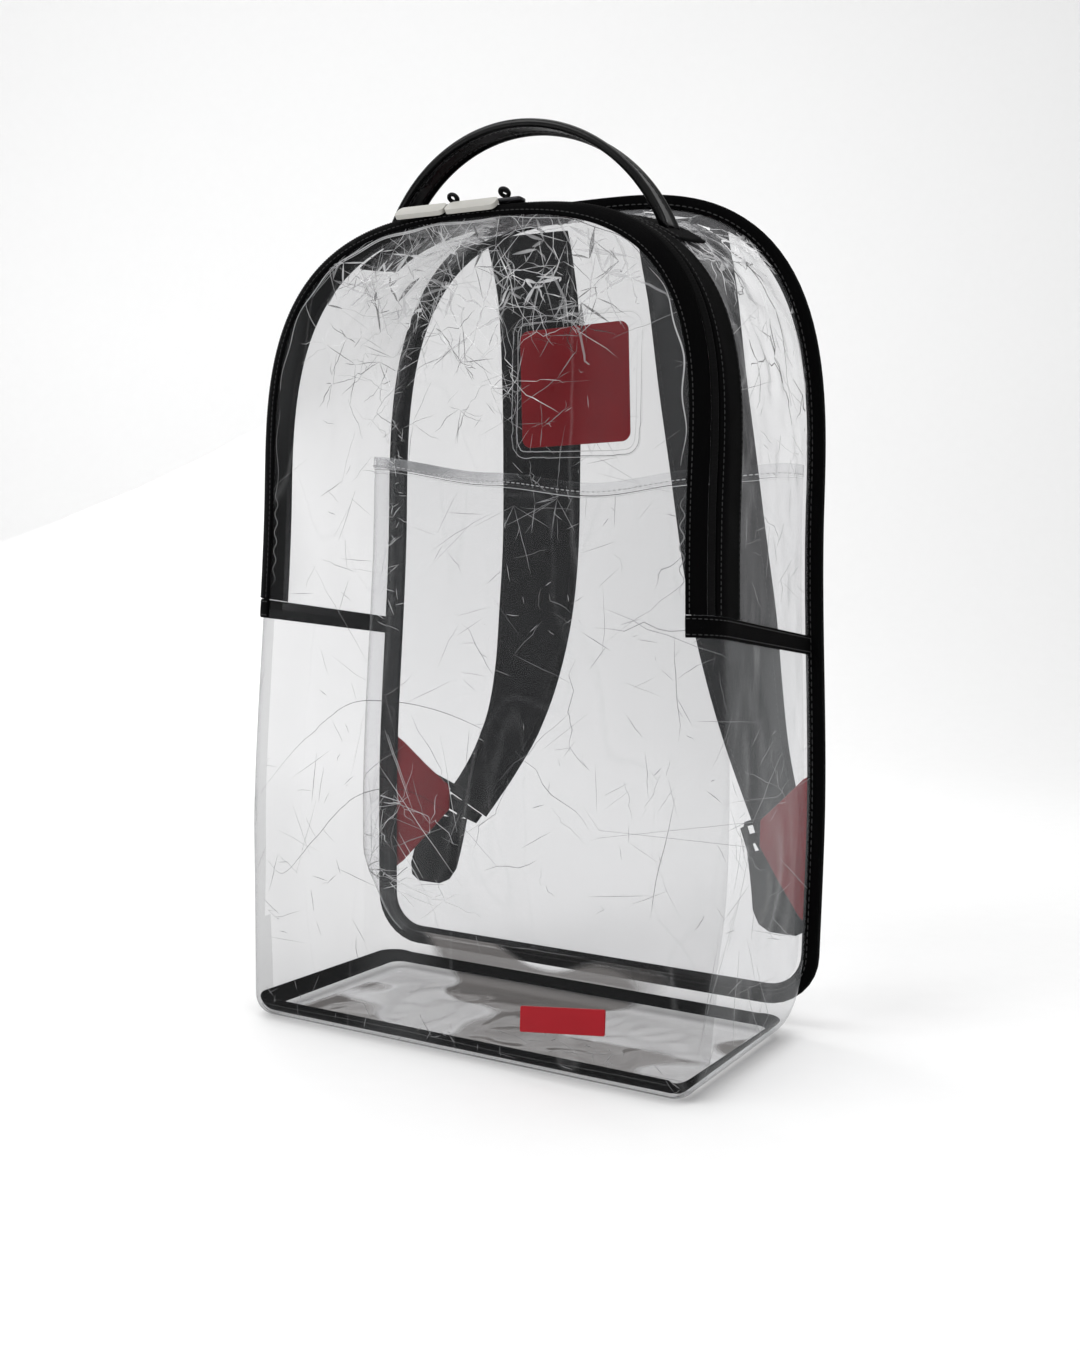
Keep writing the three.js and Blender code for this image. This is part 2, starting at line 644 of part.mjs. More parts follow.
// Carry handle: a band with rolled edges on an arc, its ends seated on the carrier
function handle() {
  const seatOut = CARRIER_GAP + CARRIER_THICK + HANDLE_SEAT;
  const seat = topHeight(HANDLE_HALF_SPAN, HANDLE_Y, seatOut);
  const leanAt = (angle, end) => HANDLE_LEAN * (Math.cos(angle) - Math.cos(end)) / (1 - Math.cos(end));
  const rise = HANDLE_TOP - HANDLE_THICK / 2 - seat;
  const radius = (HANDLE_HALF_SPAN ** 2 + rise ** 2) / (2 * rise);
  const sweepAngle = Math.asin(HANDLE_HALF_SPAN / radius);
  const endAngle = rise > radius ? Math.PI - sweepAngle : sweepAngle;
  const angles = steps(20, -endAngle, endAngle);
  const centre = HANDLE_TOP - HANDLE_THICK / 2 - radius;
  const frames = angles.map((angle) => ({
    at: vec(HANDLE_X + radius * Math.sin(angle), HANDLE_Y + leanAt(angle, endAngle), centre + radius * Math.cos(angle)),
    across: vec(0, 1, 0),
    up: vec(Math.sin(angle), 0, Math.cos(angle)),
  }));
  const half = HANDLE_WIDTH / 2;
  const tall = HANDLE_THICK / 2;
  const bead = HANDLE_EDGE / 2;
  const side = (s) => [
    [s * (half - HANDLE_EDGE), s * tall], [s * (half - bead), s * bead], [s * half, 0],
    [s * (half - bead), -s * bead], [s * (half - HANDLE_EDGE), -s * tall],
  ];
  const geometry = sweep(frames, () => [...side(1), ...side(-1)]);
  return seatEnds(geometry, frames.length, seatOut);
}

// Moves the two end rings and their centres down or up onto the carrier
function seatEnds(geometry, count, seatOut) {
  const position = geometry.getAttribute('position');
  const size = (position.count - 2) / count;
  const ends = [...Array(size).keys(), ...Array(size).keys()].map((j, i) => (i < size ? j : j + (count - 1) * size));
  for (const j of [...ends, position.count - 2, position.count - 1]) {
    position.setZ(j, topHeight(position.getX(j), position.getY(j), seatOut));
  }
  return geometry;
}

// Shoulder strap path: height share from the top, outward swing, stand-off and width shares
const STRAP_ROWS = [
  { down: 0, swing: 0, stand: 0.14, width: 1 },
  { down: 0.05, swing: 0, stand: 0.28, width: 1 },
  { down: 0.12, swing: 0.02, stand: 0.45, width: 1 },
  { down: 0.25, swing: 0.07, stand: 0.62, width: 1 },
  { down: 0.38, swing: 0.14, stand: 0.78, width: 1 },
  { down: 0.52, swing: 0.22, stand: 0.93, width: 1 },
  { down: 0.64, swing: 0.32, stand: 1.02, width: 0.97 },
  { down: 0.75, swing: 0.44, stand: 1.06, width: 0.85 },
  { down: 0.84, swing: 0.58, stand: 1.04, width: 0.72 },
  { down: 0.91, swing: 0.74, stand: 0.96, width: 0.62 },
  { down: 0.96, swing: 0.88, stand: 0.87, width: 0.57 },
  { down: 1, swing: 1, stand: 0.76, width: 0.56 },
];
const PANEL_BACK = BACK_Y + SHEET + GAP + RIM_BACK_LIP;

const strapPoint = (side, { down, swing, stand }) => vec(
  side * lerp(STRAP_TOP_X, STRAP_END_X, swing),
  PANEL_BACK + STRAP_THICK / 2 + STRAP_STAND_OFF * stand - STRAP_STAND_OFF * STRAP_ROWS[0].stand + GAP,
  lerp(STRAP_TOP_HEIGHT, STRAP_END_HEIGHT, down),
);

function shoulderStrap(side) {
  const points = STRAP_ROWS.map((row) => strapPoint(side, row));
  const frames = framesAlong(points, () => vec(0, 1, 0));
  const taper = (i) => lerp(STRAP_END_WIDTH, STRAP_WIDTH, clamp((STRAP_ROWS[i].width - 0.56) / 0.44));
  return sweep(frames, (i) => roundedSection(taper(i), STRAP_THICK, STRAP_THICK / 2));
}

// Where the strap ends, and the direction that it ends in
const strapEnd = (side) => framesAlong(STRAP_ROWS.map((row) => strapPoint(side, row)), () => vec(0, 1, 0)).pop();

// Red corner tab, from the rim to its blunt tip
function cornerTab(side) {
  const rootX = BACK_HALF_WIDTH + RIM_REACH / 2;
  const y = PANEL_BACK + GAP + TAB_THICK / 2;
  const bendX = BACK_HALF_WIDTH - RIM_LAP - 4;
  const rows = [
    { x: rootX, y, low: TAB_LOW, high: TAB_HIGH },
    { x: bendX, y, low: lerp(TAB_LOW, TAB_APEX_Z, 0.16), high: lerp(TAB_HIGH, TAB_APEX_Z, 0.16) },
    { x: lerp(bendX, TAB_APEX_X, 0.5), y: y + TAB_APEX_STAND_OFF / 3,
      low: lerp(TAB_LOW, TAB_APEX_Z, 0.5), high: lerp(TAB_HIGH, TAB_APEX_Z, 0.5) },
    { x: TAB_APEX_X, y: y + TAB_APEX_STAND_OFF * 0.75,
      low: TAB_APEX_Z - TAB_APEX_TALL / 2, high: TAB_APEX_Z + TAB_APEX_TALL / 2 },
  ];
  const place = (column, row) => {
    const { x, y: middle, low, high } = rows[column];
    const z = row ? high : low;
    return { outer: vec(side * x, middle + TAB_THICK / 2, z), inner: vec(side * x, middle - TAB_THICK / 2, z) };
  };
  return sheet(rows.length, 2, place);
}

// Adjuster at the strap's end: a frame with two slots and blunt corners, facing the back
function adjuster() {
  const w = ADJUSTER_WIDTH / 2;
  const h = ADJUSTER_TALL / 2;
  const slotX = WEBBING_WIDTH / 2 + GAP;
  const slotLow = h / 2 - ADJUSTER_SLOT / 2;
  const slotHigh = h / 2 + ADJUSTER_SLOT / 2;
  const across = [-w, -slotX, slotX, w];
  const up = [-h, -slotHigh, -slotLow, slotLow, slotHigh, h];
  const points = across.flatMap((x) => up.map((z) => {
    const blunt = Math.abs(x) === w && Math.abs(z) === h ? ADJUSTER_CORNER : 0;
    return vec(x - Math.sign(x) * blunt, 0, z - Math.sign(z) * blunt);
  }));
  const faces = [];
  for (let i = 0; i < across.length - 1; i += 1) {
    for (let j = 0; j < up.length - 1; j += 1) {
      if (i === 1 && j % 2 === 1) continue;
      const a = i * up.length + j;
      const b = a + up.length;
      faces.push([a, b, b + 1], [a, b + 1, a + 1]);
    }
  }
  return thicken(points, points.map((p) => p.clone().setY(-ADJUSTER_THICK)), faces);
}

// Flat webbing along a path. acrossOf(share) is the direction of its width.
function ribbon(points, width, acrossOf) {
  const frames = points.map((at, i) => {
    const along = points[Math.min(i + 1, points.length - 1)].clone().sub(points[Math.max(i - 1, 0)]);
    const across = acrossOf(i / (points.length - 1)).normalize();
    return { at, across, up: across.clone().cross(along).normalize() };
  });
  return sweep(frames, (i) => flatSection(width(i), WEBBING_THICK));
}

// Materials
const look = (color, roughness, extra = {}) => new THREE.MeshStandardMaterial({ color, roughness, ...extra });
const clearVinyl = look(0xe9edf0, 0.08, { transparent: true, opacity: 0.25, side: THREE.DoubleSide });
const blackTape = look(0x0b0b0c, 0.85);
const blackPad = look(0x19191a, 0.9);
const handleLeather = look(0x0d0d0e, 0.45);
const redVinyl = look(0x9c1420, 0.35);
const blackPlastic = look(0x101011, 0.4);
const zipMetal = look(0x1a1a1b, 0.35, { metalness: 0.8 });
const palePlastic = look(0xd6d3cb, 0.4);

// Assembly
const backpack = new THREE.Group();

function add(name, geometry, material, parent = backpack) {
  const bare = geometry.deleteAttribute('normal').deleteAttribute('uv');
  const merged = mergeVertices(bare, 1e-4);
  merged.computeVertexNormals();
  const mesh = new THREE.Mesh(merged, material);
  mesh.name = name;
  parent.add(mesh);
  return mesh;
}

add('front_sheet', frontSheet(), clearVinyl);
add('upper_gusset', upperGusset(), clearVinyl);
add('base_panel', basePanel(), clearVinyl);
add('back_panel', backPanel(), clearVinyl);
add('inner_sleeve', innerSleeve(), clearVinyl);
add('sleeve_hem', sleeveHem(), clearVinyl);
add('zip_tape_front', frontTape(), blackTape);
add('zip_tape_rear', rearTape(), blackTape);
add('zip_coil', zipCoil(), blackPlastic);
add('back_rim', backRim(), blackTape);
add('base_binding', baseBinding(), blackTape);
add('handle_carrier', handleCarrier(), blackTape);
add('handle', handle(), handleLeather);

const patch = add('inner_patch', roundedPlate(PATCH_WIDTH, PATCH_TALL, PATCH_RADIUS, PATCH_THICK), redVinyl);
patch.position.set(PATCH_X, BACK_Y - GAP, PATCH_Z);
patch.rotation.y = PATCH_TILT * DEGREE;

const label = add('front_label', roundedPlate(LABEL_WIDTH, LABEL_TALL, 1, LABEL_THICK, LABEL_RISE), redVinyl);
label.position.set(LABEL_X, FRONT_Y - FACE_BOW * 0.4 - GAP, LABEL_Z);

for (const [side, word] of [[-1, 'left'], [1, 'right']]) {
  add(`side_strip_${word}`, sideStrip(side), blackTape);
  add(`shoulder_strap_${word}`, shoulderStrap(side), blackPad);
  add(`corner_tab_${word}`, cornerTab(side), redVinyl);

  const tabBack = PANEL_BACK + GAP + TAB_THICK + TAB_APEX_STAND_OFF * 0.75;
  const lock = vec(side * (TAB_APEX_X + ADJUSTER_INSET), tabBack + GAP, TAB_APEX_Z);
  const frame = add(`adjuster_${word}`, adjuster(), blackPlastic);
  frame.position.copy(lock).add(vec(0, ADJUSTER_THICK, 0));
  frame.rotation.y = -side * ADJUSTER_TURN * DEGREE;

  const end = strapEnd(side);
  const start = end.at.clone().addScaledVector(end.along, 2 * GAP);
  const behind = lock.clone().add(vec(0, ADJUSTER_THICK + GAP + WEBBING_THICK / 2, 0));
  const dip = end.along.clone().multiplyScalar(WEBBING_DIP);
  const link = [start, start.clone().add(dip), start.clone().lerp(behind, 0.5).add(dip), behind];
  const turned = vec(Math.cos(ADJUSTER_TURN * DEGREE), 0, side * Math.sin(ADJUSTER_TURN * DEGREE));
  const leaving = end.across.clone().multiplyScalar(Math.sign(end.across.x));
  add(`webbing_${word}`, ribbon(link, () => WEBBING_WIDTH, (share) => leaving.clone().lerp(turned, share)), blackTape);

  const tailTop = behind.clone().add(vec(side * GAP, 0, -WEBBING_WIDTH / 2 - GAP));
  const tail = [0, 0.25, 0.5, 0.75, 0.92, 1].map((share) => tailTop.clone().add(
    vec(side * TAIL_DRIFT * share, -TAIL_DRIFT * share ** 2, -TAIL_LENGTH * share)));
  const tailWidth = [1, 1, 1, 1, 0.82, 0.45];
  add(`webbing_tail_${word}`, ribbon(tail, (i) => WEBBING_WIDTH * tailWidth[i], () => vec(1, 0, 0)), blackTape);
}

// Sliders stand on the coil near the top of the arch. Each pull hangs from its wire loop and
// rests on the rolled front tape, pointing left.
const zipY = skin(1, 5, turnAt(5, (coilStart(5) + coilEnd(5)) / 2)).y;
const rollY = FRONT_Y + TOP_CORNER;
const pullOut = TOP_CORNER + TAPE_OUT + 2 * GAP;
for (const [i, word] of ['first', 'second'].entries()) {
  const x = SLIDER_FIRST_X + i * SLIDER_SPACING;
  const nearest = Math.max(Math.abs(x) - SLIDER_LENGTH / 2, 0);
  const seat = topHeight(nearest, zipY, TAPE_OUT + COIL_RIDGE + GAP);
  const unit = new THREE.Group();
  unit.position.set(x, zipY, seat);
  const body = roundedPlate(SLIDER_LENGTH, SLIDER_WIDTH, SLIDER_WIDTH / 4, SLIDER_THICK).rotateX(Math.PI / 2);
  add(`zip_slider_${word}`, body, zipMetal, unit).position.z = SLIDER_THICK;
  const tilt = LOOP_TILT * DEGREE;
  const loopHalf = LOOP_RADIUS * Math.cos(tilt) + LOOP_WIRE;
  const ring = new THREE.TorusGeometry(LOOP_RADIUS, LOOP_WIRE, 6, 12).rotateX(Math.PI / 2 + tilt);
  const ringMesh = add(`pull_loop_${word}`, ring, zipMetal, unit);
  ringMesh.position.set(-LOOP_RADIUS, -LOOP_RADIUS / 2, SLIDER_THICK + loopHalf + GAP);
  const grip = roundedPlate(PULL_LENGTH, PULL_WIDTH, PULL_WIDTH / 3, PULL_THICK);
  const gripMesh = add(`pull_tab_${word}`, grip, palePlastic, unit);
  const rollTop = topHeight(0, rollY, 0) - TOP_CORNER;
  const angle = PULL_ANGLE * DEGREE;
  gripMesh.rotation.x = -angle;
  gripMesh.position.set(
    -PULL_LENGTH / 2 - LOOP_RADIUS,
    rollY - zipY - pullOut * Math.cos(angle),
    rollTop - seat + pullOut * Math.sin(angle),
  );
  backpack.add(unit);
}

// The back leans: its top is nearer to the front than its base
function leanBack(mesh) {
  mesh.updateWorldMatrix(true, false);
  const place = mesh.matrixWorld;
  const back = place.clone().invert();
  const position = mesh.geometry.getAttribute('position');
  const point = new THREE.Vector3();
  for (let i = 0; i < position.count; i += 1) {
    point.fromBufferAttribute(position, i).applyMatrix4(place);
    point.y += clamp((point.y - FRONT_Y) / BAG_DEPTH) * lerp(LEAN_BASE, LEAN_TOP, point.z / BACK_HEIGHT);
    point.applyMatrix4(back);
    position.setXYZ(i, point.x, point.y, point.z);
  }
  mesh.geometry.computeVertexNormals();
}

backpack.traverse((piece) => piece.isMesh && leanBack(piece));

export default backpack;
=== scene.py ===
"""Dresses the clear backpack: see-through vinyl, black binding, zip, handle, straps and red patches."""

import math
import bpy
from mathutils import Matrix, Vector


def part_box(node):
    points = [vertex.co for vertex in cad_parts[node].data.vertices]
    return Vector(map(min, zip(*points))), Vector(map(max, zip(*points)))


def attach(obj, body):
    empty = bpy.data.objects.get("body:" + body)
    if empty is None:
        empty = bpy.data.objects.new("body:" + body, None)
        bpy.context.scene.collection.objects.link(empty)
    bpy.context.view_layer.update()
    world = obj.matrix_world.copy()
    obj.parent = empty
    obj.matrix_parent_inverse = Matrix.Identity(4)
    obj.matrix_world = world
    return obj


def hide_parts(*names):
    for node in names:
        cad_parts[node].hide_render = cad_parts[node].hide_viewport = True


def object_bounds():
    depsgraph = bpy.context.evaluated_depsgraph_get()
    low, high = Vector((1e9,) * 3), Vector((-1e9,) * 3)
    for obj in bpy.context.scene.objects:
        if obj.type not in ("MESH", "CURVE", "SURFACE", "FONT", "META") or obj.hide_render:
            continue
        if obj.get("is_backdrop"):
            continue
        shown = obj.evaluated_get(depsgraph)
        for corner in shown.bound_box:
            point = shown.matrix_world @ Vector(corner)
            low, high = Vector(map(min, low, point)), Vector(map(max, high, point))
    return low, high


bl_info = {
    "name": "Clear backpack",
    "version": (1, 0, 0),
    "blender": (4, 5, 0),
    "location": "3D View > Sidebar > Backpack",
    "description": "Builds the surfaces of a clear backpack round its fixed model",
    "category": "Object",
}

import bmesh
import bpy
import numpy as np
from mathutils import Matrix, Vector, noise
from mathutils.bvhtree import BVHTree

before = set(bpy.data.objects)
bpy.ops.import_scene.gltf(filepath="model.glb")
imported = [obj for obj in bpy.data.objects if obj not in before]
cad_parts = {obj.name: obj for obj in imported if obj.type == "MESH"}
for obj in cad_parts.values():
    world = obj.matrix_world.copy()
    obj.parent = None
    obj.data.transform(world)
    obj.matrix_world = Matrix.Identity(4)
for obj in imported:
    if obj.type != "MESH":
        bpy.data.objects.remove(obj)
CAD_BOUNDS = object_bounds()

MM = 0.001
BODY = "root"

# Shape of the bag in millimetres and degrees, as the fixed model has it
BAG_DEPTH = 152.0
FRONT_HALF_WIDTH = 150.0
BACK_HALF_WIDTH = 149.0
FRONT_BASE_TAPER = 8.0
BACK_BASE_TAPER = 1.0
SPRING_TAPER = 6.5
WIDEST_HEIGHT = 120.0
SPRING_HEIGHT = 310.0
FRONT_HEIGHT = 459.0
BACK_HEIGHT = 489.0
TOP_SWEEP = 1.8
ARCH_POWER = 3.0
FACE_CORNER = 19.0
TOP_CORNER = 8.0
BASE_ROLL = 12.0
BASE_CORNER = 13.0
BACK_CORNER = 24.0
BASE_RISE = 23.0
BASE_BACK_ROLL = 18.0
LEAN_TOP = -9.0
LEAN_BASE = 5.0
FACE_BOW = 5.0
DENT_DEPTH = 6.0
SHEET = 1.3
GAP = 0.3
STRIP_FRONT_HEIGHT = 243.0
STRIP_BACK_HEIGHT = 230.0
STRIP_WIDTH = 11.0
STRIP_THICK = 1.4
BAND_START_ANGLE = 15.0
FRONT_TAPE_WIDTH = 10.5
REAR_TAPE_WIDTH = 26.5
TAPE_THICK = 1.4
COIL_WIDTH = 4.0
TAPE_LAP = 6.0
RIM_REACH = 8.0
RIM_FRONT_LIP = 3.2
RIM_BACK_LIP = 2.4
RIM_WEB = 2.6
RIM_LAP = 3.0
BINDING_THICK = 1.5
BINDING_GAP = 1.2
SLEEVE_HEIGHT = 334.0
SLEEVE_DEPTH = 41.0
SLEEVE_SAG = 11.0
SLEEVE_FOOT = 3.0
HEM_WIDTH = 7.0
HEM_THICK = 2.6
HANDLE_HALF_SPAN = 89.5
HANDLE_TOP = 516.0
HANDLE_WIDTH = 22.0
HANDLE_THICK = 4.0
HANDLE_X = -1.0
HANDLE_Y = -13.0
HANDLE_LEAN = -10.0
CARRIER_WIDTH = 40.0
CARRIER_THICK = 1.4
CARRIER_GAP = 0.5
CARRIER_END_ANGLE = 51.0
STRAP_THICK = 8.0
STRAP_TOP_HEIGHT = 482.0
STRAP_END_HEIGHT = 106.0
STRAP_TOP_X = 53.0
STRAP_END_X = 116.0
STRAP_WIDTH = 61.0
STRAP_END_WIDTH = 36.0
STRAP_STAND_OFF = 62.0
# The base binding shows a little wider than its solid, and narrower along the back seam
BINDING_WIDTH = 13.5
BINDING_LOW_ANGLE = 24.0
BACK_RUN_SHARE = 0.5

FRONT_Y = -BAG_DEPTH / 2
BACK_Y = BAG_DEPTH / 2
RIM_SEAT = RIM_FRONT_LIP + 3 * GAP
FLAT_END = BAG_DEPTH - RIM_SEAT - BASE_BACK_ROLL
PANEL_BACK = BACK_Y + SHEET + GAP + RIM_BACK_LIP
TAPE_OUT = GAP + TAPE_THICK

# Radius of the rolled face edge by stage of the outline
FACE_EDGE = ((0, BASE_ROLL), (2, BASE_ROLL), (2.4, FACE_CORNER), (4, FACE_CORNER), (5, TOP_CORNER))


# Numbers

def lerp(a, b, t):
    return a + (b - a) * t


def smooth(t):
    t = np.clip(t, 0, 1)
    return t * t * (3 - 2 * t)


def from_table(table, place):
    """Value at a place in a table of (place, value) rows, eased between the rows."""
    place = np.asarray(place, float)
    value = np.full(place.shape, float(table[0][1]))
    for (start, low), (end, high) in zip(table, table[1:]):
        value = np.where(place > start, lerp(low, high, smooth((place - start) / (end - start))), value)
    return value


def noise_at(points, size, seed):
    """Smooth noise from -1 to 1 at each point. size is in millimetres, or one for each axis."""
    scaled = np.asarray(points, float) / np.asarray(size, float) + seed * 17.31
    flat = scaled.reshape(-1, 3)
    values = [noise.noise(Vector(p)) for p in flat]
    return np.array(values).reshape(scaled.shape[:-1])


def ridges(points, size, seed):
    """Sharp crests from 0 to 1, as folded sheet has."""
    return (1 - np.abs(noise_at(points, size, seed)) * 2.4).clip(0, 1) ** 3


# Outline of the bag

def base_height(depth):
    into = np.clip(1 - ((1 - depth) * BAG_DEPTH - RIM_SEAT) / BASE_BACK_ROLL, 0, 1)
    return BASE_RISE * (1 - np.sqrt(1 - into**2))


def corner_radius(depth):
    return lerp(BASE_CORNER, BACK_CORNER, np.clip(depth, 0, 1))


def strip_height(depth):
    return lerp(STRIP_FRONT_HEIGHT, STRIP_BACK_HEIGHT, depth)


def arch_height(depth):
    return lerp(FRONT_HEIGHT, BACK_HEIGHT, np.clip(depth, 0, 1) ** TOP_SWEEP)


def half_width(z, depth):
    widest = lerp(FRONT_HALF_WIDTH, BACK_HALF_WIDTH, depth)
    climb = (z - WIDEST_HEIGHT) / (SPRING_HEIGHT - WIDEST_HEIGHT)
    taper = lerp(FRONT_BASE_TAPER, BACK_BASE_TAPER, depth)
    return widest - taper * (1 - smooth(z / WIDEST_HEIGHT)) - SPRING_TAPER * smooth(climb)


def outline(stage, depth):
    """Half outline: 0 middle of the base, 1 to 2 base corner, 3 strip seam, 4 spring, 5 top of the arch."""
    stage, depth = np.broadcast_arrays(np.asarray(stage, float), np.asarray(depth, float))
    floor = base_height(depth)
    corner = corner_radius(depth)
    corner_x = half_width(floor + corner, depth) - corner
    turn = np.clip(stage - 1, 0, 1) * math.pi / 2
    x = np.where(stage <= 1, corner_x * stage, corner_x + corner * np.sin(turn))
    z = np.where(stage <= 1, floor, floor + corner * (1 - np.cos(turn)))
    side_z = np.where(
        stage <= 3,
        lerp(floor + corner, strip_height(depth), stage - 2),
        lerp(strip_height(depth), SPRING_HEIGHT, stage - 3),
    )
    x = np.where(stage > 2, half_width(side_z, depth), x)
    z = np.where(stage > 2, side_z, z)
    angle = np.clip(stage - 4, 0, 1) * math.pi / 2
    across = np.maximum(np.cos(angle), 0)
    up = np.sin(angle)
    scale = (across**ARCH_POWER + up**ARCH_POWER) ** (-1 / ARCH_POWER)
    x = np.where(stage > 4, half_width(SPRING_HEIGHT, depth) * across * scale, x)
    z = np.where(stage > 4, SPRING_HEIGHT + (arch_height(depth) - SPRING_HEIGHT) * up * scale, z)
    return x, z


def outward_normal(stage, depth):
    step = 0.002
    x0, z0 = outline(np.maximum(stage - step, 0), depth)
    x1, z1 = outline(np.minimum(stage + step, 5), depth)
    length = np.hypot(x1 - x0, z1 - z0)
    return (z1 - z0) / length, -(x1 - x0) / length


def skin(side, stage, turn, out=0.0):
    """Point on the skin: turn is 0 to 1 round the face edge and 2 at the back, out is outside the skin."""
    side, stage, turn, out = np.broadcast_arrays(
        *(np.asarray(value, float) for value in (side, stage, turn, out))
    )
    radius = from_table(FACE_EDGE, stage)
    angle = np.clip(turn, 0, 1) * math.pi / 2
    y = FRONT_Y + radius * (1 - np.cos(angle)) + np.maximum(turn - 1, 0) * (BAG_DEPTH - radius)
    depth = (y - FRONT_Y) / BAG_DEPTH
    x, z = outline(stage, depth)
    nx, nz = outward_normal(stage, depth)
    reach = out * np.sin(angle) - radius * (1 - np.sin(angle))
    return np.stack([side * (x + nx * reach), y - out * np.cos(angle), z + nz * reach], -1)


def turn_at(stage, distance):
    radius = from_table(FACE_EDGE, stage)
    arc = radius * math.pi / 2
    return np.where(distance <= arc, distance / arc, 1 + (distance - arc) / (BAG_DEPTH - radius))


def turn_at_depth(stage, y):
    radius = from_table(FACE_EDGE, stage)
    return 1 + (y - FRONT_Y - radius) / (BAG_DEPTH - radius)


def above_seam(height, depth):
    return 3 + height / (SPRING_HEIGHT - strip_height(depth))


def below_seam(height, depth):
    return 3 - height / (strip_height(depth) - base_height(depth) - corner_radius(depth))


def band_start(stage):
    return from_table(FACE_EDGE, stage) * math.radians(BAND_START_ANGLE)


def coil_start(stage):
    return band_start(stage) + FRONT_TAPE_WIDTH + GAP


def band_end(stage):
    return coil_start(stage) + COIL_WIDTH + GAP + REAR_TAPE_WIDTH


def wall_end(stage):
    radius = from_table(FACE_EDGE, stage)
    return radius * math.pi / 2 + BAG_DEPTH - radius - GAP


def top_height(x, y, out):
    """Height of the bag's top above a place, a distance out from the skin."""
    depth = (y - FRONT_Y) / BAG_DEPTH
    spring = half_width(SPRING_HEIGHT, depth)
    share = np.minimum(np.abs(x) / spring, 0.98) ** ARCH_POWER
    rise = arch_height(depth) - SPRING_HEIGHT
    slope = rise / spring * share ** (2 / 3) * (1 - share) ** (-2 / 3)
    return SPRING_HEIGHT + rise * (1 - share) ** (1 / ARCH_POWER) + out * np.hypot(1, slope)


def leaned(points):
    """The back leans: its top is nearer to the front than its base."""
    points = np.array(points, float)
    into = np.clip((points[..., 1] - FRONT_Y) / BAG_DEPTH, 0, 1)
    points[..., 1] += into * lerp(LEAN_BASE, LEAN_TOP, points[..., 2] / BACK_HEIGHT)
    return points


# Columns over the arch, and round the whole outline
SEAM_COLUMNS = 12
ARCH_COLUMNS = 44
HALF_ARCH = np.concatenate([np.linspace(0, 1, SEAM_COLUMNS), np.linspace(1, 2, ARCH_COLUMNS)[1:]])
ARCH_CLIMB = np.concatenate([HALF_ARCH, HALF_ARCH[:-1][::-1]])
ARCH_SIDE = np.concatenate([np.full(len(HALF_ARCH), -1.0), np.full(len(HALF_ARCH) - 1, 1.0)])
HALF_LOOP = np.concatenate([
    np.linspace(0, 1, 20), np.linspace(1, 2, 9)[1:], np.linspace(2, 3, 34)[1:],
    np.linspace(3, 4, 13)[1:], np.linspace(4, 5, 41)[1:],
])
LOOP_STAGE = np.concatenate([HALF_LOOP, HALF_LOOP[1:-1][::-1]])
LOOP_SIDE = np.concatenate([np.ones(len(HALF_LOOP)), -np.ones(len(HALF_LOOP) - 2)])


def on_arch(distance_of, out, lift, climb=ARCH_CLIMB, side=ARCH_SIDE):
    """Points over the arch. climb is 0 at the strip, 1 at the spring and 2 at the top."""
    rough = 3 + climb
    distance = distance_of(rough)
    turn = turn_at(rough, distance)
    depth = (skin(side, rough, turn)[..., 1] - FRONT_Y) / BAG_DEPTH
    stage = np.where(climb < 1, lerp(above_seam(lift, depth), 4, climb), rough)
    return skin(side, stage, turn, out)


# Meshes

def new_mesh(name, points, faces, material):
    """Makes an object from points in millimetres that already have the bag's lean."""
    mesh = bpy.data.meshes.new(name)
    mesh.from_pydata((points * MM).tolist(), [], faces)
    mesh.polygons.foreach_set("use_smooth", [True] * len(mesh.polygons))
    mesh.materials.append(material)
    piece = bpy.data.objects.new(name, mesh)
    bpy.context.scene.collection.objects.link(piece)
    return piece


def new_piece(name, points, faces, material, coordinates=None):
    """Makes an object from points in millimetres. coordinates hold each vertex's place on the surface."""
    mesh = bpy.data.meshes.new(name)
    mesh.from_pydata((leaned(points) * MM).tolist(), [], [list(face) for face in faces])
    if coordinates is not None:
        layer = mesh.uv_layers.new(name="surface")
        placed = np.asarray(coordinates, float) * MM
        loops = np.zeros(len(mesh.loops), np.int32)
        mesh.loops.foreach_get("vertex_index", loops)
        layer.data.foreach_set("uv", placed[loops].ravel())
    mesh.polygons.foreach_set("use_smooth", [True] * len(mesh.polygons))
    mesh.materials.append(material)
    mesh.update()
    piece = bpy.data.objects.new(name, mesh)
    bpy.context.scene.collection.objects.link(piece)
    return piece


def finish_piece(piece, slot, *nodes):
    """Fixes a piece to the bag and hides the plain solids that it stands for."""
    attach(piece, BODY)
    if nodes:
        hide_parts(*nodes)
    return piece


# Points nearer than this, in metres, are one point
MEETING = 1e-6


def clean(piece, outside=False):
    """Joins points that meet, drops loose ones and, if asked, turns every face outwards."""
    work = bmesh.new()
    work.from_mesh(piece.data)
    bmesh.ops.remove_doubles(work, verts=work.verts, dist=MEETING)
    bmesh.ops.delete(work, geom=[v for v in work.verts if not v.link_faces], context="VERTS")
    if outside:
        bmesh.ops.recalc_face_normals(work, faces=work.faces)
    work.to_mesh(piece.data)
    work.free()
    return piece


def lengths(points):
    """Running length along the first axis of a grid of points, averaged over its columns."""
    steps = np.linalg.norm(np.diff(points, axis=0), axis=-1)
    while steps.ndim > 1:
        steps = steps.mean(axis=-1)
    return np.concatenate([[0], np.cumsum(steps)])


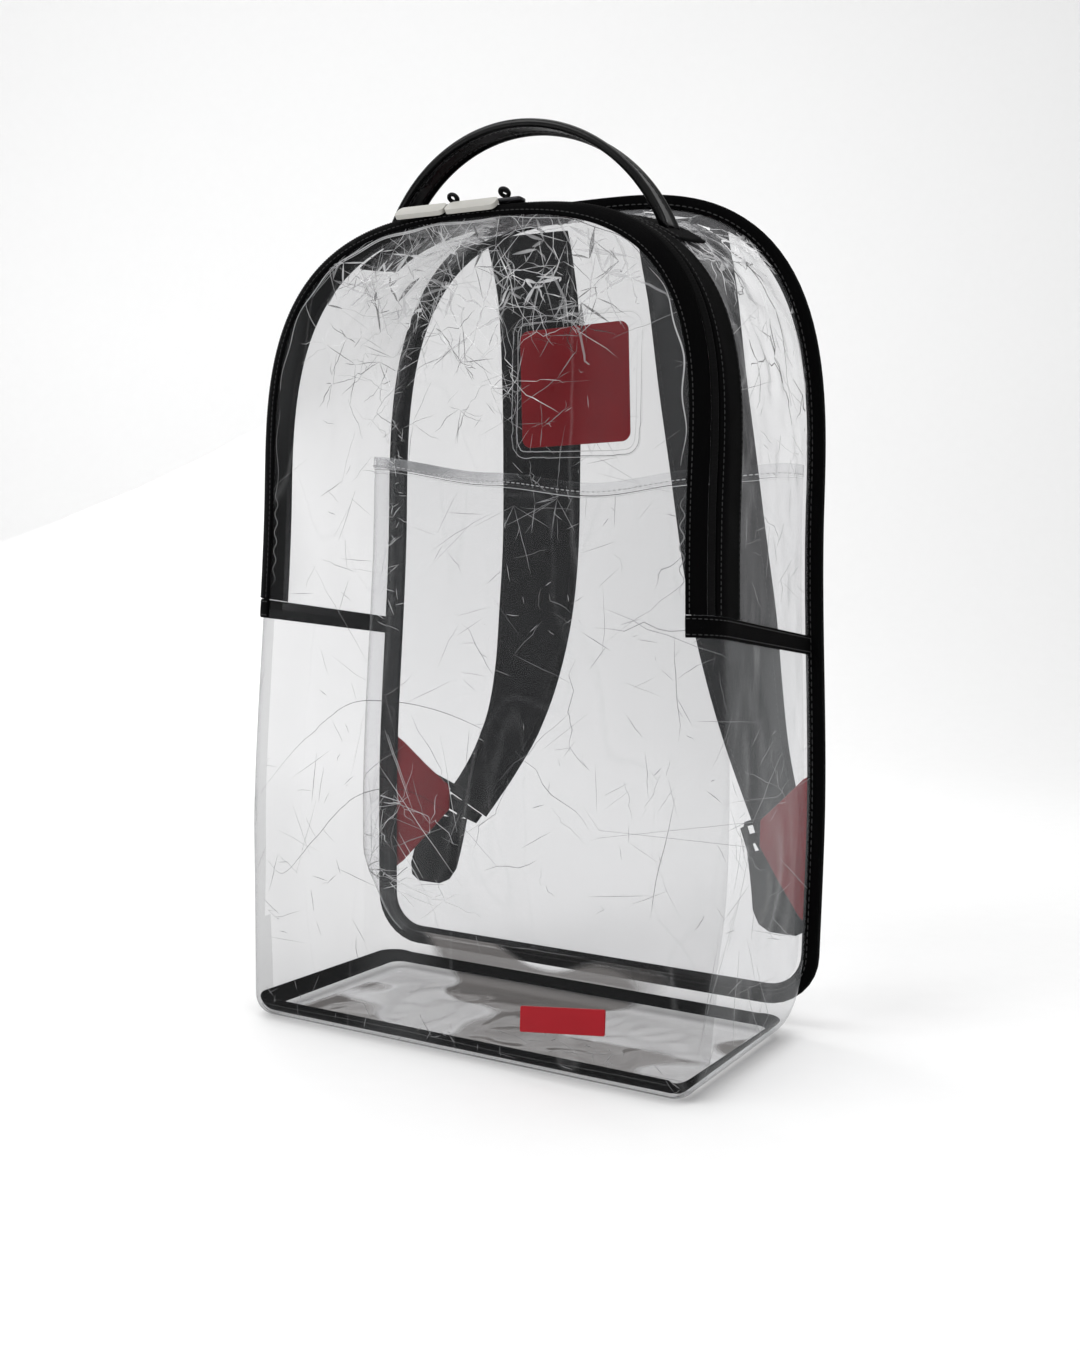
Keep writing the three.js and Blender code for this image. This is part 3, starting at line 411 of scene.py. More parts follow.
def surface(name, grid, material, shown=None, closed=False):
    """Sheet over a grid of points. shown says which points exist, and closed joins the last column."""
    rows, columns = grid.shape[:2]
    shown = np.ones((rows, columns), bool) if shown is None else shown
    faces = []
    for i in range(rows - 1):
        for j in range(columns if closed else columns - 1):
            k = (j + 1) % columns
            if shown[i, j] and shown[i, k] and shown[i + 1, j] and shown[i + 1, k]:
                low, high = i * columns, (i + 1) * columns
                faces.append((low + j, low + k, high + k, high + j))
    v = lengths(grid)
    u = lengths(np.swapaxes(grid, 0, 1))
    uv = np.stack(np.broadcast_arrays(u[None, :], v[:, None]), -1).reshape(-1, 2)
    return clean(new_piece(name, grid.reshape(-1, 3), faces, material, uv))


def tube(name, rings, material, closed=False):
    """Closed body through rings of points, with its ends capped unless the path closes."""
    count, size = rings.shape[:2]
    faces = []
    for i in range(count if closed else count - 1):
        n = (i + 1) % count
        for j in range(size):
            k = (j + 1) % size
            faces.append((i * size + j, i * size + k, n * size + k, n * size + j))
    if not closed:
        faces.append(tuple(range(size))[::-1])
        faces.append(tuple((count - 1) * size + j for j in range(size)))
    u = lengths(rings)
    around = np.linalg.norm(np.diff(np.concatenate([rings, rings[:, :1]], 1), axis=1), axis=-1).mean(0)
    v = np.concatenate([[0], np.cumsum(around)[:-1]])
    uv = np.stack(np.broadcast_arrays(u[:, None], v[None, :]), -1).reshape(-1, 2)
    return clean(new_piece(name, rings.reshape(-1, 3), faces, material, uv), outside=True)


def slab_section(width, low, high, count=8, crown=0.0):
    """Closed section of a flat tape with rounded edges: (place across, place out) rows."""
    radius = min((high - low) / 2, width / 4)
    middle = (low + high) / 2
    half = (high - low) / 2
    turns = np.radians([30, 60, 90, 120, 150])
    across = np.linspace(radius, width - radius, count)
    rise = crown * (1 - ((across - width / 2) / (width / 2)) ** 2)
    top = np.stack([across, high + rise], -1)
    right = np.stack([width - radius + radius * np.sin(turns), middle + half * np.cos(turns)], -1)
    bottom = np.stack([across[::-1], np.full(count, low)], -1)
    left = np.stack([radius - radius * np.sin(turns), middle - half * np.cos(turns)], -1)
    return np.concatenate([top, right, bottom, left])


def frames_along(points, wanted):
    """Unit vectors across a path and up from it, with up as near as can be to wanted."""
    along = np.gradient(points, axis=0)
    along /= np.linalg.norm(along, axis=-1, keepdims=True)
    up = wanted - (wanted * along).sum(-1, keepdims=True) * along
    up /= np.linalg.norm(up, axis=-1, keepdims=True)
    return np.cross(along, up), up


def swept(points, across, up, section):
    """Rings of a section, one set of (across, up) rows for each point or one for all."""
    section = np.asarray(section, float)
    if section.ndim == 2:
        section = np.repeat(section[None], len(points), 0)
    return points[:, None] + section[..., :1] * across[:, None] + section[..., 1:] * up[:, None]


# Places along a stitch and its thickness there, both as shares, and its sides
STITCH_RINGS = ((-0.5, 0.25), (-0.36, 0.9), (0, 1.0), (0.36, 0.9), (0.5, 0.25))
STITCH_SIDES = 6
STITCH_SUNK = 0.35
# Spacing, length and thread radius of each seam's stitches, in millimetres
SEAMS = {
    "hem": (3.4, 2.4, 0.3), "zip": (3.0, 2.2, 0.26), "rim": (4.2, 3.0, 0.34), "strip": (3.0, 2.2, 0.28),
    "carrier": (3.4, 2.4, 0.3), "handle": (3.6, 2.7, 0.3), "strap": (4.0, 2.8, 0.32),
}
DIRECTION_REACH = 0.5


def looped(rows, closed):
    return np.concatenate([rows, rows[:1]]) if closed else rows


def spaced(path, spacing):
    """Running length at a path's points, and at evenly spaced places on it."""
    run = np.concatenate([[0], np.cumsum(np.linalg.norm(np.diff(path, axis=0), axis=-1))])
    count = max(int(run[-1] / spacing), 1)
    return run, (np.arange(count) + 0.5) * run[-1] / count


def read_at(places, run, rows):
    """Rows that belong to a path's points, read at places on its running length."""
    return np.stack([np.interp(places, run, rows[:, axis]) for axis in range(3)], -1)


def resample(path, spacing, closed=False):
    """Evenly spaced places along a path: points and directions."""
    path = looped(path, closed)
    run, at = spaced(path, spacing)
    ahead = read_at(np.minimum(at + DIRECTION_REACH, run[-1]), run, path)
    behind = read_at(np.maximum(at - DIRECTION_REACH, 0), run, path)
    along = ahead - behind
    return read_at(at, run, path), along / np.linalg.norm(along, axis=-1, keepdims=True)


def resample_vectors(path, vectors, spacing, closed):
    """Vectors that belong to a path's points, at its evenly spaced places."""
    run, at = spaced(looped(path, closed), spacing)
    return read_at(at, run, looped(vectors, closed))


def stitches(name, paths, material, seam, closed=False):
    """Rows of small thread stitches. Each path is (points, outward directions)."""
    spacing, length, radius = SEAMS[seam]
    points, faces = [], []
    sides = np.arange(STITCH_SIDES) / STITCH_SIDES * 2 * math.pi
    for path, outward in paths:
        places, along = resample(path, spacing, closed)
        out = resample_vectors(path, outward, spacing, closed)
        out -= (out * along).sum(-1, keepdims=True) * along
        out /= np.linalg.norm(out, axis=-1, keepdims=True)
        across = np.cross(along, out)
        for place, a, b, c in zip(places, along, across, out):
            start = len(points)
            for share, wide in STITCH_RINGS:
                arch = radius * (1 - (2 * share) ** 2)
                centre = place + a * share * length + c * (arch - radius * STITCH_SUNK)
                for angle in sides:
                    points.append(centre + radius * wide * (b * math.cos(angle) + c * math.sin(angle)))
            for i in range(len(STITCH_RINGS) - 1):
                for j in range(STITCH_SIDES):
                    k = (j + 1) % STITCH_SIDES
                    low, high = start + i * STITCH_SIDES, start + (i + 1) * STITCH_SIDES
                    faces.append((low + j, low + k, high + k, high + j))
            faces.append(tuple(start + j for j in range(STITCH_SIDES))[::-1])
            last = start + (len(STITCH_RINGS) - 1) * STITCH_SIDES
            faces.append(tuple(last + j for j in range(STITCH_SIDES)))
    return new_piece(name, np.array(points), faces, material)


# Material nodes

THREAD_BLACK = (0.009, 0.009, 0.0095)
THREAD_CLEAR = (0.75, 0.75, 0.76)
COIL_BLACK = (0.0012, 0.0012, 0.0013)
ADJUSTER_BLACK = (0.004, 0.004, 0.0045)
SLIDER_GREY = (0.02, 0.02, 0.022)
# Painted shade in the holes of the strap mesh
STRAP_HOLE_SHADE = (0.006, 0.006, 0.0065)
# White of the vinyl's fold lines: a painted highlight
FOLD_HIGHLIGHT_WHITE = (0.75, 0.76, 0.77)
CLOUD_GREY = (0.42, 0.43, 0.44)
CLOUD_SHADE = (0.3, 0.3, 0.31)
# Cloud colour of the base: painted grey reflections as well as haze
BASE_HAZE_AND_REFLECTION = (0.26, 0.245, 0.235)
PAPER_LOW = (0.95, 0.95, 0.95)
PAPER_HIGH = (0.98, 0.98, 0.98)
# Finish of each clear sheet: seed of its folds, haze, stretch of the folds, colour and edge of its clouds.
# The base's dense grey clouds are painted reflections over real haze
VINYLS = {
    "vinyl_front": (1.0, 0.07, 0.16, CLOUD_GREY, 4.0),
    "vinyl_walls": (2.0, 0.06, 0.2, CLOUD_GREY, 4.0),
    "vinyl_gusset": (4.0, 0.16, 0.6, CLOUD_SHADE, 3.0),
    "vinyl_base": (7.3, 0.85, 1.0, BASE_HAZE_AND_REFLECTION, 26.0),
    "vinyl_back": (9.0, 0.04, 0.5, CLOUD_GREY, 4.0),
    "vinyl_sleeve": (15.0, 0.13, 0.16, CLOUD_GREY, 4.0),
    "vinyl_hem": (19.0, 0.75, 1.0, CLOUD_GREY, 4.0),
}

def put(tree, kind, inputs=None, **settings):
    """Adds a shader node, sets its fields and feeds its inputs from numbers or from other outputs."""
    made = tree.nodes.new("ShaderNode" + kind)
    for field, value in settings.items():
        setattr(made, field, value)
    for name, value in (inputs or {}).items():
        if isinstance(value, bpy.types.NodeSocket):
            tree.links.new(value, made.inputs[name])
        else:
            made.inputs[name].default_value = value
    return made


def maths(tree, operation, a, b=0.0, clamp=False):
    return put(tree, "Math", {0: a, 1: b}, operation=operation, use_clamp=clamp).outputs[0]


def new_group(name, inputs, outputs):
    """Shader node group with float inputs (name, default) and named float outputs."""
    tree = bpy.data.node_groups.new(name, "ShaderNodeTree")
    for label, default in inputs:
        socket = tree.interface.new_socket(label, in_out="INPUT", socket_type="NodeSocketFloat")
        socket.default_value = default
    for label in outputs:
        tree.interface.new_socket(label, in_out="OUTPUT", socket_type="NodeSocketFloat")
    start = tree.nodes.new("NodeGroupInput")
    end = tree.nodes.new("NodeGroupOutput")
    return tree, start, end


def use_group(tree, name, **inputs):
    made = tree.nodes.new("ShaderNodeGroup")
    made.node_tree = GROUPS[name]()
    for label, value in inputs.items():
        made.inputs[label.replace("_", " ")].default_value = value
    return made


def once(build):
    """Builds a node group or a material the first time it is asked for."""
    made = {}

    def ask(*values):
        if values not in made:
            made[values] = build(*values)
        return made[values]

    return ask


@once
def weave_group():
    """Plain weave on the surface's own coordinates."""
    tree, start, end = new_group(
        "woven threads", [("Pitch", 0.0011), ("Stretch", 1.0), ("Fuzz", 0.4)], ["Height", "Shade"]
    )
    place = put(tree, "TexCoord").outputs["UV"]
    split = put(tree, "SeparateXYZ", {0: place})
    turns = maths(tree, "DIVIDE", 2 * math.pi, start.outputs["Pitch"])
    u = maths(tree, "MULTIPLY", split.outputs[0], turns)
    v = maths(tree, "MULTIPLY", maths(tree, "MULTIPLY", split.outputs[1], turns), start.outputs["Stretch"])
    crossing = maths(tree, "MULTIPLY", maths(tree, "SINE", u), maths(tree, "SINE", v))
    thread_u = maths(tree, "ABSOLUTE", maths(tree, "SINE", u))
    thread_v = maths(tree, "ABSOLUTE", maths(tree, "SINE", v))
    over = maths(tree, "GREATER_THAN", crossing, 0.0)
    height = maths(
        tree, "ADD",
        maths(tree, "MULTIPLY", over, thread_v),
        maths(tree, "MULTIPLY", maths(tree, "SUBTRACT", 1.0, over), thread_u),
    )
    spot = put(tree, "TexCoord").outputs["Object"]
    fuzz = put(tree, "TexNoise", {"Vector": spot, "Scale": 900.0, "Detail": 2.0})
    fuzzed = maths(tree, "MULTIPLY", fuzz.outputs["Fac"], start.outputs["Fuzz"])
    tree.links.new(maths(tree, "ADD", height, fuzzed), end.inputs["Height"])
    # The thread height also masks the tape's painted sheen
    tree.links.new(height, end.inputs["Shade"])
    return tree


@once
def crinkle_group():
    """Soft relief, cloudy haze and faint fold lines of handled clear vinyl. The lines mask a painted white
    highlight.
    """
    tree, start, end = new_group(
        "vinyl folds", [("Scale", 12.0), ("Stretch", 0.5), ("Width", 0.01), ("Edge", 4.0), ("Seed", 0.0)],
        ["Lines", "Height", "Cloud"],
    )
    place = put(tree, "TexCoord").outputs["Object"]
    split = put(tree, "SeparateXYZ", {0: place})
    low = maths(tree, "MULTIPLY", split.outputs[2], start.outputs["Stretch"])
    moved = put(tree, "CombineXYZ", {
        0: maths(tree, "ADD", split.outputs[0], start.outputs["Seed"]), 1: split.outputs[1], 2: low,
    })
    field = put(
        tree, "TexNoise",
        {"Vector": moved.outputs[0], "Scale": start.outputs["Scale"], "Detail": 1.0, "Roughness": 0.6},
    ).outputs["Fac"]
    away = maths(tree, "ABSOLUTE", maths(tree, "SUBTRACT", field, 0.5))
    line = maths(tree, "SUBTRACT", 1.0, maths(tree, "DIVIDE", away, start.outputs["Width"]), clamp=True)
    tree.links.new(line, end.inputs["Lines"])
    cloud = maths(tree, "MULTIPLY", maths(tree, "SUBTRACT", field, 0.5), start.outputs["Edge"], clamp=True)
    tree.links.new(cloud, end.inputs["Cloud"])
    tree.links.new(maths(tree, "SUBTRACT", field, maths(tree, "MULTIPLY", away, 0.7)), end.inputs["Height"])
    return tree


@once
def grain_group():
    """Fine grain of leather look and moulded plastic."""
    tree, start, end = new_group("fine grain", [("Scale", 900.0), ("Softness", 0.5)], ["Height", "Tone"])
    place = put(tree, "TexCoord").outputs["Object"]
    cells = put(tree, "TexVoronoi", {"Vector": place, "Scale": start.outputs["Scale"]}, feature="F1")
    broad = put(tree, "TexNoise", {"Vector": place, "Scale": 45.0, "Detail": 2.0})
    soft = maths(tree, "MULTIPLY", broad.outputs["Fac"], start.outputs["Softness"])
    tree.links.new(maths(tree, "ADD", cells.outputs["Distance"], soft), end.inputs["Height"])
    tree.links.new(broad.outputs["Fac"], end.inputs["Tone"])
    return tree


GROUPS = {"weave": weave_group, "crinkle": crinkle_group, "grain": grain_group}


def new_material(name):
    """Empty material: its node tree, its Principled shader and its output."""
    material = bpy.data.materials.new(name)
    material.use_nodes = True
    tree = material.node_tree
    tree.nodes.clear()
    shader = tree.nodes.new("ShaderNodeBsdfPrincipled")
    end = tree.nodes.new("ShaderNodeOutputMaterial")
    tree.links.new(shader.outputs[0], end.inputs[0])
    return material, tree, shader, end


def shade(tree, low, high, factor):
    """Colour between two colours by a factor."""
    mix = put(tree, "Mix", {"Factor": factor}, data_type="RGBA")
    mix.inputs["A"].default_value = (*low, 1)
    mix.inputs["B"].default_value = (*high, 1)
    return mix.outputs["Result"]


def ranged(tree, value, low, high):
    """Spreads a value from 0 to 1 over a range."""
    return put(tree, "MapRange", {"Value": value, "To Min": low, "To Max": high}).outputs[0]


def bumped(tree, shader, height, strength, distance):
    """Gives a shader relief from a height. distance is in metres."""
    bump = put(tree, "Bump", {"Height": height, "Strength": strength, "Distance": distance})
    tree.links.new(bump.outputs[0], shader.inputs["Normal"])


def looks():
    return bpy.context.scene.backpack_looks


def details():
    return bpy.context.scene.backpack_details


def see_through(tree, end, shader, solid, colour):
    """Mixes a shader over a clear one. Lamps and soft light meet only the clear one, so they pass freely."""
    see = put(tree, "BsdfTransparent", {"Color": (*colour, 1)})
    mix = put(tree, "MixShader", {0: solid, 1: see.outputs[0], 2: shader.outputs[0]})
    path = put(tree, "LightPath")
    passing = maths(tree, "MAXIMUM", path.outputs["Is Shadow Ray"], path.outputs["Is Diffuse Ray"])
    plain = put(tree, "BsdfTransparent", {"Color": (*colour, 1)})
    ray = put(tree, "MixShader", {0: passing, 1: mix.outputs[0], 2: plain.outputs[0]})
    tree.links.new(ray.outputs[0], end.inputs[0])


def slant_gloss(tree, face_on, power=5.0):
    """Share of light that a clear sheet reflects, the same from both of its sides."""
    slant = put(tree, "LayerWeight", {"Blend": 0.5}).outputs["Facing"]
    return maths(tree, "ADD", maths(tree, "POWER", slant, power), face_on)


@once
def clear_vinyl(name, clear):
    """Clear vinyl: mostly see-through, glossy at a slant, with faint folds painted white as highlights, and
    clouds.
    """
    seed, haze, stretch, cloudy, edge = VINYLS[name]
    material, tree, shader, end = new_material(name)
    folds = use_group(tree, "crinkle", Scale=11.0, Stretch=stretch, Edge=edge, Seed=seed)
    gloss = maths(tree, "MULTIPLY", slant_gloss(tree, 0.02), looks().vinyl_gloss)
    lines = maths(tree, "MULTIPLY", folds.outputs["Lines"], looks().fold_highlight_strength)
    cloud = maths(tree, "MULTIPLY", folds.outputs["Cloud"], haze)
    solid = maths(tree, "ADD", maths(tree, "ADD", gloss, lines), cloud, clamp=True)
    # The fold lines take a painted white highlight over the clouds' colour
    tree.links.new(shade(tree, cloudy, FOLD_HIGHLIGHT_WHITE, folds.outputs["Lines"]), shader.inputs["Base Color"])
    shader.inputs["Roughness"].default_value = 0.06
    bumped(tree, shader, folds.outputs["Height"], 0.6, 0.004)
    see_through(tree, end, shader, solid, (clear, clear, min(clear * 1.004, 1)))
    return material


@once
def painted_crease_light(name, share, tone):
    """Painted light along a sharp crease or scratch: a light tone paints a highlight, a dark tone a dark
    reflection.
    """
    material, tree, shader, end = new_material(name)
    grain = use_group(tree, "grain", Scale=600.0, Softness=1.0)
    # The tone is painted light, not the vinyl's own colour
    bright = (tone, tone, tone * 1.01)
    dark = tuple(channel * 0.85 for channel in bright)
    tree.links.new(shade(tree, dark, bright, grain.outputs["Tone"]), shader.inputs["Base Color"])
    shader.inputs["Roughness"].default_value = 0.14
    solid = ranged(tree, grain.outputs["Tone"], share * 0.6, min(share * 1.4, 1))
    see_through(tree, end, shader, solid, (0.9, 0.9, 0.9))
    return material


@once
def woven_tape(name, pitch, stretch, lift):
    """Black woven tape with a slight sheen, painted as a lighter colour on the raised threads."""
    material, tree, shader, _end = new_material(name)
    weave = use_group(tree, "weave", Pitch=pitch, Stretch=stretch, Fuzz=0.35)
    dust = use_group(tree, "grain", Scale=300.0, Softness=1.0)
    base = tuple(looks().tape_colour)
    # Painted sheen: the raised threads are coloured lighter, by a share and a lift
    light = tuple(channel * 2.0 + lift for channel in base)
    tree.links.new(shade(tree, base, light, weave.outputs["Shade"]), shader.inputs["Base Color"])
    tree.links.new(ranged(tree, dust.outputs["Tone"], 0.7, 0.92), shader.inputs["Roughness"])
    shader.inputs["Specular IOR Level"].default_value = 0.025
    bumped(tree, shader, weave.outputs["Height"], 0.55, 0.0003)
    return material


@once
def pad_fabric():
    """Black spacer mesh of the shoulder straps, with painted shade in its holes and painted sheen on broad
    lighter patches.
    """
    material, tree, shader, _end = new_material("strap_mesh_fabric")
    place = put(tree, "TexCoord").outputs["Object"]
    holes = put(tree, "TexVoronoi", {"Vector": place, "Scale": 330.0}, feature="DISTANCE_TO_EDGE")
    opened = maths(tree, "MULTIPLY", holes.outputs[0], 2.6, clamp=True)
    broad = put(tree, "TexNoise", {"Vector": place, "Scale": 26.0, "Detail": 4.0, "Roughness": 0.6})
    # Painted shade in the holes and low patches, painted sheen towards the lighter pad colour
    tone = maths(tree, "MULTIPLY", maths(tree, "SUBTRACT", 1.0, opened), broad.outputs["Fac"])
    tones = shade(tree, STRAP_HOLE_SHADE, tuple(looks().pad_colour), tone)
    tree.links.new(tones, shader.inputs["Base Color"])
    shader.inputs["Roughness"].default_value = 0.8
    shader.inputs["Specular IOR Level"].default_value = 0.08
    bumped(tree, shader, opened, -0.6, 0.0006)
    return material


@once
def handle_leather():
    """Black leather look of the handle, finely grained and half glossy."""
    material, tree, shader, _end = new_material("handle_leather_look")
    grain = use_group(tree, "grain", Scale=1300.0, Softness=0.6)
    base = tuple(looks().tape_colour)
    light = tuple(channel * 1.8 + 0.001 for channel in base)
    tree.links.new(shade(tree, base, light, grain.outputs["Tone"]), shader.inputs["Base Color"])
    tree.links.new(ranged(tree, grain.outputs["Tone"], 0.2, 0.36), shader.inputs["Roughness"])
    shader.inputs["Specular IOR Level"].default_value = 0.22
    bumped(tree, shader, grain.outputs["Height"], 0.16, 0.0002)
    return material


@once
def red_vinyl(name, clear, shine=0.5):
    """Soft red vinyl that lets a little light through."""
    material, tree, shader, end = new_material(name)
    grain = use_group(tree, "grain", Scale=220.0, Softness=1.0)
    base = tuple(looks().red_colour)
    dark = tuple(channel * 0.72 for channel in base)
    tree.links.new(shade(tree, dark, base, grain.outputs["Tone"]), shader.inputs["Base Color"])
    tree.links.new(ranged(tree, grain.outputs["Tone"], 0.22, 0.4), shader.inputs["Roughness"])
    shader.inputs["Specular IOR Level"].default_value = shine
    shader.inputs["Subsurface Weight"].default_value = 0.12
    shader.inputs["Subsurface Radius"].default_value = (0.01, 0.002, 0.002)
    bumped(tree, shader, grain.outputs["Height"], 0.06, 0.0003)
    if clear > 0:
        tint = tuple(min(channel * 1.5 + 0.03, 1) for channel in base)
        see = put(tree, "BsdfTransparent", {"Color": (*tint, 1)})
        mix = put(tree, "MixShader", {0: 1 - clear, 1: see.outputs[0], 2: shader.outputs[0]})
        tree.links.new(mix.outputs[0], end.inputs[0])
    return material


@once
def plastic(name, colour, roughness, metal, shine=0.5):
    """Moulded plastic or painted metal with a fine grain."""
    material, tree, shader, _end = new_material(name)
    grain = use_group(tree, "grain", Scale=1800.0, Softness=0.8)
    light = tuple(min(channel * 1.25 + 0.004, 1) for channel in colour)
    tree.links.new(shade(tree, colour, light, grain.outputs["Tone"]), shader.inputs["Base Color"])
    rough = ranged(tree, grain.outputs["Tone"], roughness * 0.8, roughness * 1.2)
    tree.links.new(rough, shader.inputs["Roughness"])
    shader.inputs["Metallic"].default_value = metal
    shader.inputs["Specular IOR Level"].default_value = shine
    bumped(tree, shader, grain.outputs["Height"], 0.1, 0.0002)
    return material


@once
def thread(name, colour):
    """Twisted sewing thread."""
    material, tree, shader, _end = new_material(name)
    place = put(tree, "TexCoord").outputs["Object"]
    twist = put(tree, "TexNoise", {"Vector": place, "Scale": 1600.0, "Detail": 2.0})
    dark = tuple(channel * 0.6 for channel in colour)
    tree.links.new(shade(tree, dark, colour, twist.outputs["Fac"]), shader.inputs["Base Color"])
    shader.inputs["Roughness"].default_value = 0.6
    bumped(tree, shader, twist.outputs["Fac"], 0.4, 0.0002)
    return material


# Clear sheets

# Dents of the front: x and z shares, spread share, depth share
FACE_DENTS = ((-0.45, 0.9, 0.2, 1.0), (0.05, 0.86, 0.16, 0.8), (0.5, 0.8, 0.18, 0.6),
              (-0.62, 0.35, 0.22, 0.7), (0.55, 0.42, 0.25, 0.5))


def face_relief(x, z, rest):
    """How far the front face stands forward."""
    dents = 0
    for dent_x, dent_z, spread, depth in FACE_DENTS:
        away = np.hypot(x - dent_x * FRONT_HALF_WIDTH, z - dent_z * FRONT_HEIGHT)
        dents = dents + depth * np.exp(-((away / (spread * FRONT_HALF_WIDTH)) ** 2))
    return FACE_BOW * (1 - rest**2) - DENT_DEPTH * dents * smooth((1 - rest) * 4)


# Folds of each sheet: seed, depth and size in millimetres. A depth of the face, the walls and the gusset is
# a share of the crease depth
FOLDS = {
    "face": (2.0, 1.0, 26.0), "walls": (9.0, 0.5, 40.0), "gusset": (5.0, 1.0, 20.0),
    "base": (13.0, 1.6, 42.0), "back": (21.0, 0.6, 60.0), "sleeve": (31.0, 2.2, 34.0),
}


def crumple(points, sheet):
    """Folds of soft sheet: broad waves with sharp crests and troughs on them."""
    seed, depth, size = FOLDS[sheet]
    broad = noise_at(points, (size * 2.4, size * 2.4, size * 3.2), seed)
    crest = ridges(points, (size, size, size * 1.5), seed + 3)
    trough = ridges(points, (size * 0.7, size, size), seed + 7)
    return depth * (0.55 * broad + 0.7 * (crest - trough))


# Rows and columns of the sheets' meshes
FACE_RINGS = 62
EDGE_ROWS = 11
WALL_ROWS = 22
ROLL_ROWS = 7
GUSSET_ROWS = 26
BASE_ROWS = 34
BASE_COLUMNS = 81
BACK_RINGS = 30
SLEEVE_ROWS = 64
# Turn at which the face edge's mesh laps onto the walls
EDGE_LAP = 1.028
# The base's first row behind the roll, where its folds fade in, and over what lengths they fade in and out
BASE_FIRST_ROW = 4.0
BASE_REST_START = 16.0
BASE_REST = 18.0
BASE_BACK_REST = 24.0
# Where the side walls start, and over what length their folds fade in at the front and out at the rim
WALL_START = 22.0
SIDE_FIRST_ROW = 24.0
SIDE_REST = 20.0
RIM_REST = 14.0
# The face is calm below these shares of its height and roughest above them
ROUGH_FROM = 0.62
ROUGH_EASE = 0.3
FACE_CALM = 0.22
# Turns and stages past which the front sheet is cut away: at the zip band and under the base
FACE_END_TURN = 0.31
BASE_END_TURN = 1.03


def front_sheet_grid():
    """Face from its middle outwards, then the rolled edge, then the sides back to the panel."""
    rings = np.linspace(0, 1, FACE_RINGS)[:-1]
    turns = np.concatenate([np.linspace(0, 1, EDGE_ROWS), [EDGE_LAP]])
    depths = np.concatenate([
        np.linspace(SIDE_FIRST_ROW, FLAT_END, WALL_ROWS),
        FLAT_END + BASE_BACK_ROLL * np.sin(np.radians(np.linspace(10, 90, ROLL_ROWS))), [BAG_DEPTH - GAP],
    ])
    edge = skin(LOOP_SIDE, LOOP_STAGE, 0.0)
    middle = np.array([0, FRONT_Y, (FRONT_HEIGHT - BASE_ROLL) / 2])
    face = middle + (edge - middle) * rings[:, None, None]
    relief = face_relief(face[..., 0], face[..., 2], rings[:, None])
    rest = 1 - rings[:, None] ** 6
    top = smooth((face[..., 2] - ROUGH_FROM * FRONT_HEIGHT) / (ROUGH_EASE * FRONT_HEIGHT))
    rough = details().crease_depth / MM * lerp(FACE_CALM, 1, top)
    face[..., 1] -= relief + crumple(face, "face") * rough * rest
    rolled = skin(LOOP_SIDE, LOOP_STAGE, turns[:, None])
    along = skin(LOOP_SIDE, LOOP_STAGE, turn_at_depth(LOOP_STAGE, FRONT_Y + depths[:, None]))
    fade_in = smooth((depths[:, None] - SIDE_FIRST_ROW) / SIDE_REST)
    side_rest = fade_in * smooth((BAG_DEPTH - RIM_REST - depths[:, None]) / SIDE_REST)
    wall = (LOOP_STAGE > 2) & (LOOP_STAGE < 2.9)
    bulge = crumple(along, "walls") * details().crease_depth / MM * side_rest * wall
    along[..., 0] -= LOOP_SIDE * np.abs(bulge)
    grid = np.concatenate([face, rolled, along])
    shown = np.ones(grid.shape[:2], bool)
    first_turn = len(rings)
    for row in range(first_turn, len(grid)):
        turn = turns[row - first_turn] if row - first_turn < len(turns) else 2
        shown[row] &= ~((LOOP_STAGE > 3.001) & (turn > FACE_END_TURN))
        shown[row] &= ~((LOOP_STAGE < 1) & (turn > BASE_END_TURN))
    return grid, shown


def gusset_grid():
    share = np.linspace(0, 1, GUSSET_ROWS)[:, None]
    grid = on_arch(lambda s: lerp(band_end(s) - TAPE_LAP, wall_end(s), share), 0.0, GAP)
    rest = smooth(share * 5) * smooth((1 - share) * 6)
    top = smooth((ARCH_CLIMB - 0.8) / 0.8)
    depth = details().crease_depth / MM * (0.35 + 0.65 * top)
    fold = crumple(grid, "gusset") * rest * depth
    centre = np.array([0, 0, SPRING_HEIGHT])
    outward = grid - centre
    outward[..., 1] = 0
    outward[..., 2] = np.maximum(outward[..., 2], 0)
    outward /= np.linalg.norm(outward, axis=-1, keepdims=True)
    return grid - outward * (np.abs(fold) * 1.3)[..., None]


def base_grid():
    edge = np.linspace(-1, 1, BASE_COLUMNS)
    depths = np.concatenate([
        np.linspace(BASE_ROLL + BASE_FIRST_ROW, FLAT_END, BASE_ROWS),
        FLAT_END + BASE_BACK_ROLL * np.sin(np.radians(np.linspace(10, 90, ROLL_ROWS + 2))), [BAG_DEPTH - GAP],
    ])[:, None]
    stage = np.abs(edge)
    grid = skin(np.where(edge < 0, -1, 1), stage, turn_at_depth(stage, FRONT_Y + depths))
    fade_in = smooth((depths - BASE_REST_START) / BASE_REST)
    rest = (1 - edge**6) * fade_in * smooth((FLAT_END - depths) / BASE_BACK_REST)
    grid[..., 2] += np.abs(crumple(grid, "base")) * rest
    return grid


def back_grid():
    rings = np.linspace(0, 1, BACK_RINGS)[:, None]
    x, z = outline(LOOP_STAGE, 1.0)
    nx, nz = outward_normal(LOOP_STAGE, 1.0)
    reach = RIM_REACH - RIM_WEB - GAP
    edge = np.stack([LOOP_SIDE * (x + nx * reach), np.full(len(x), BACK_Y + SHEET), z + nz * reach], -1)
    middle = np.array([0, BACK_Y + SHEET, BACK_HEIGHT / 2])
    grid = middle + (edge - middle) * rings[..., None]
    grid[..., 1] -= np.abs(crumple(grid, "back")) * (1 - rings**8)
    return grid


# Depth of the pocket's upright waves, and the most that its folds go back and forward, in millimetres
SLEEVE_HANG = 1.4
SLEEVE_REACH = (-2.2, 4.0)
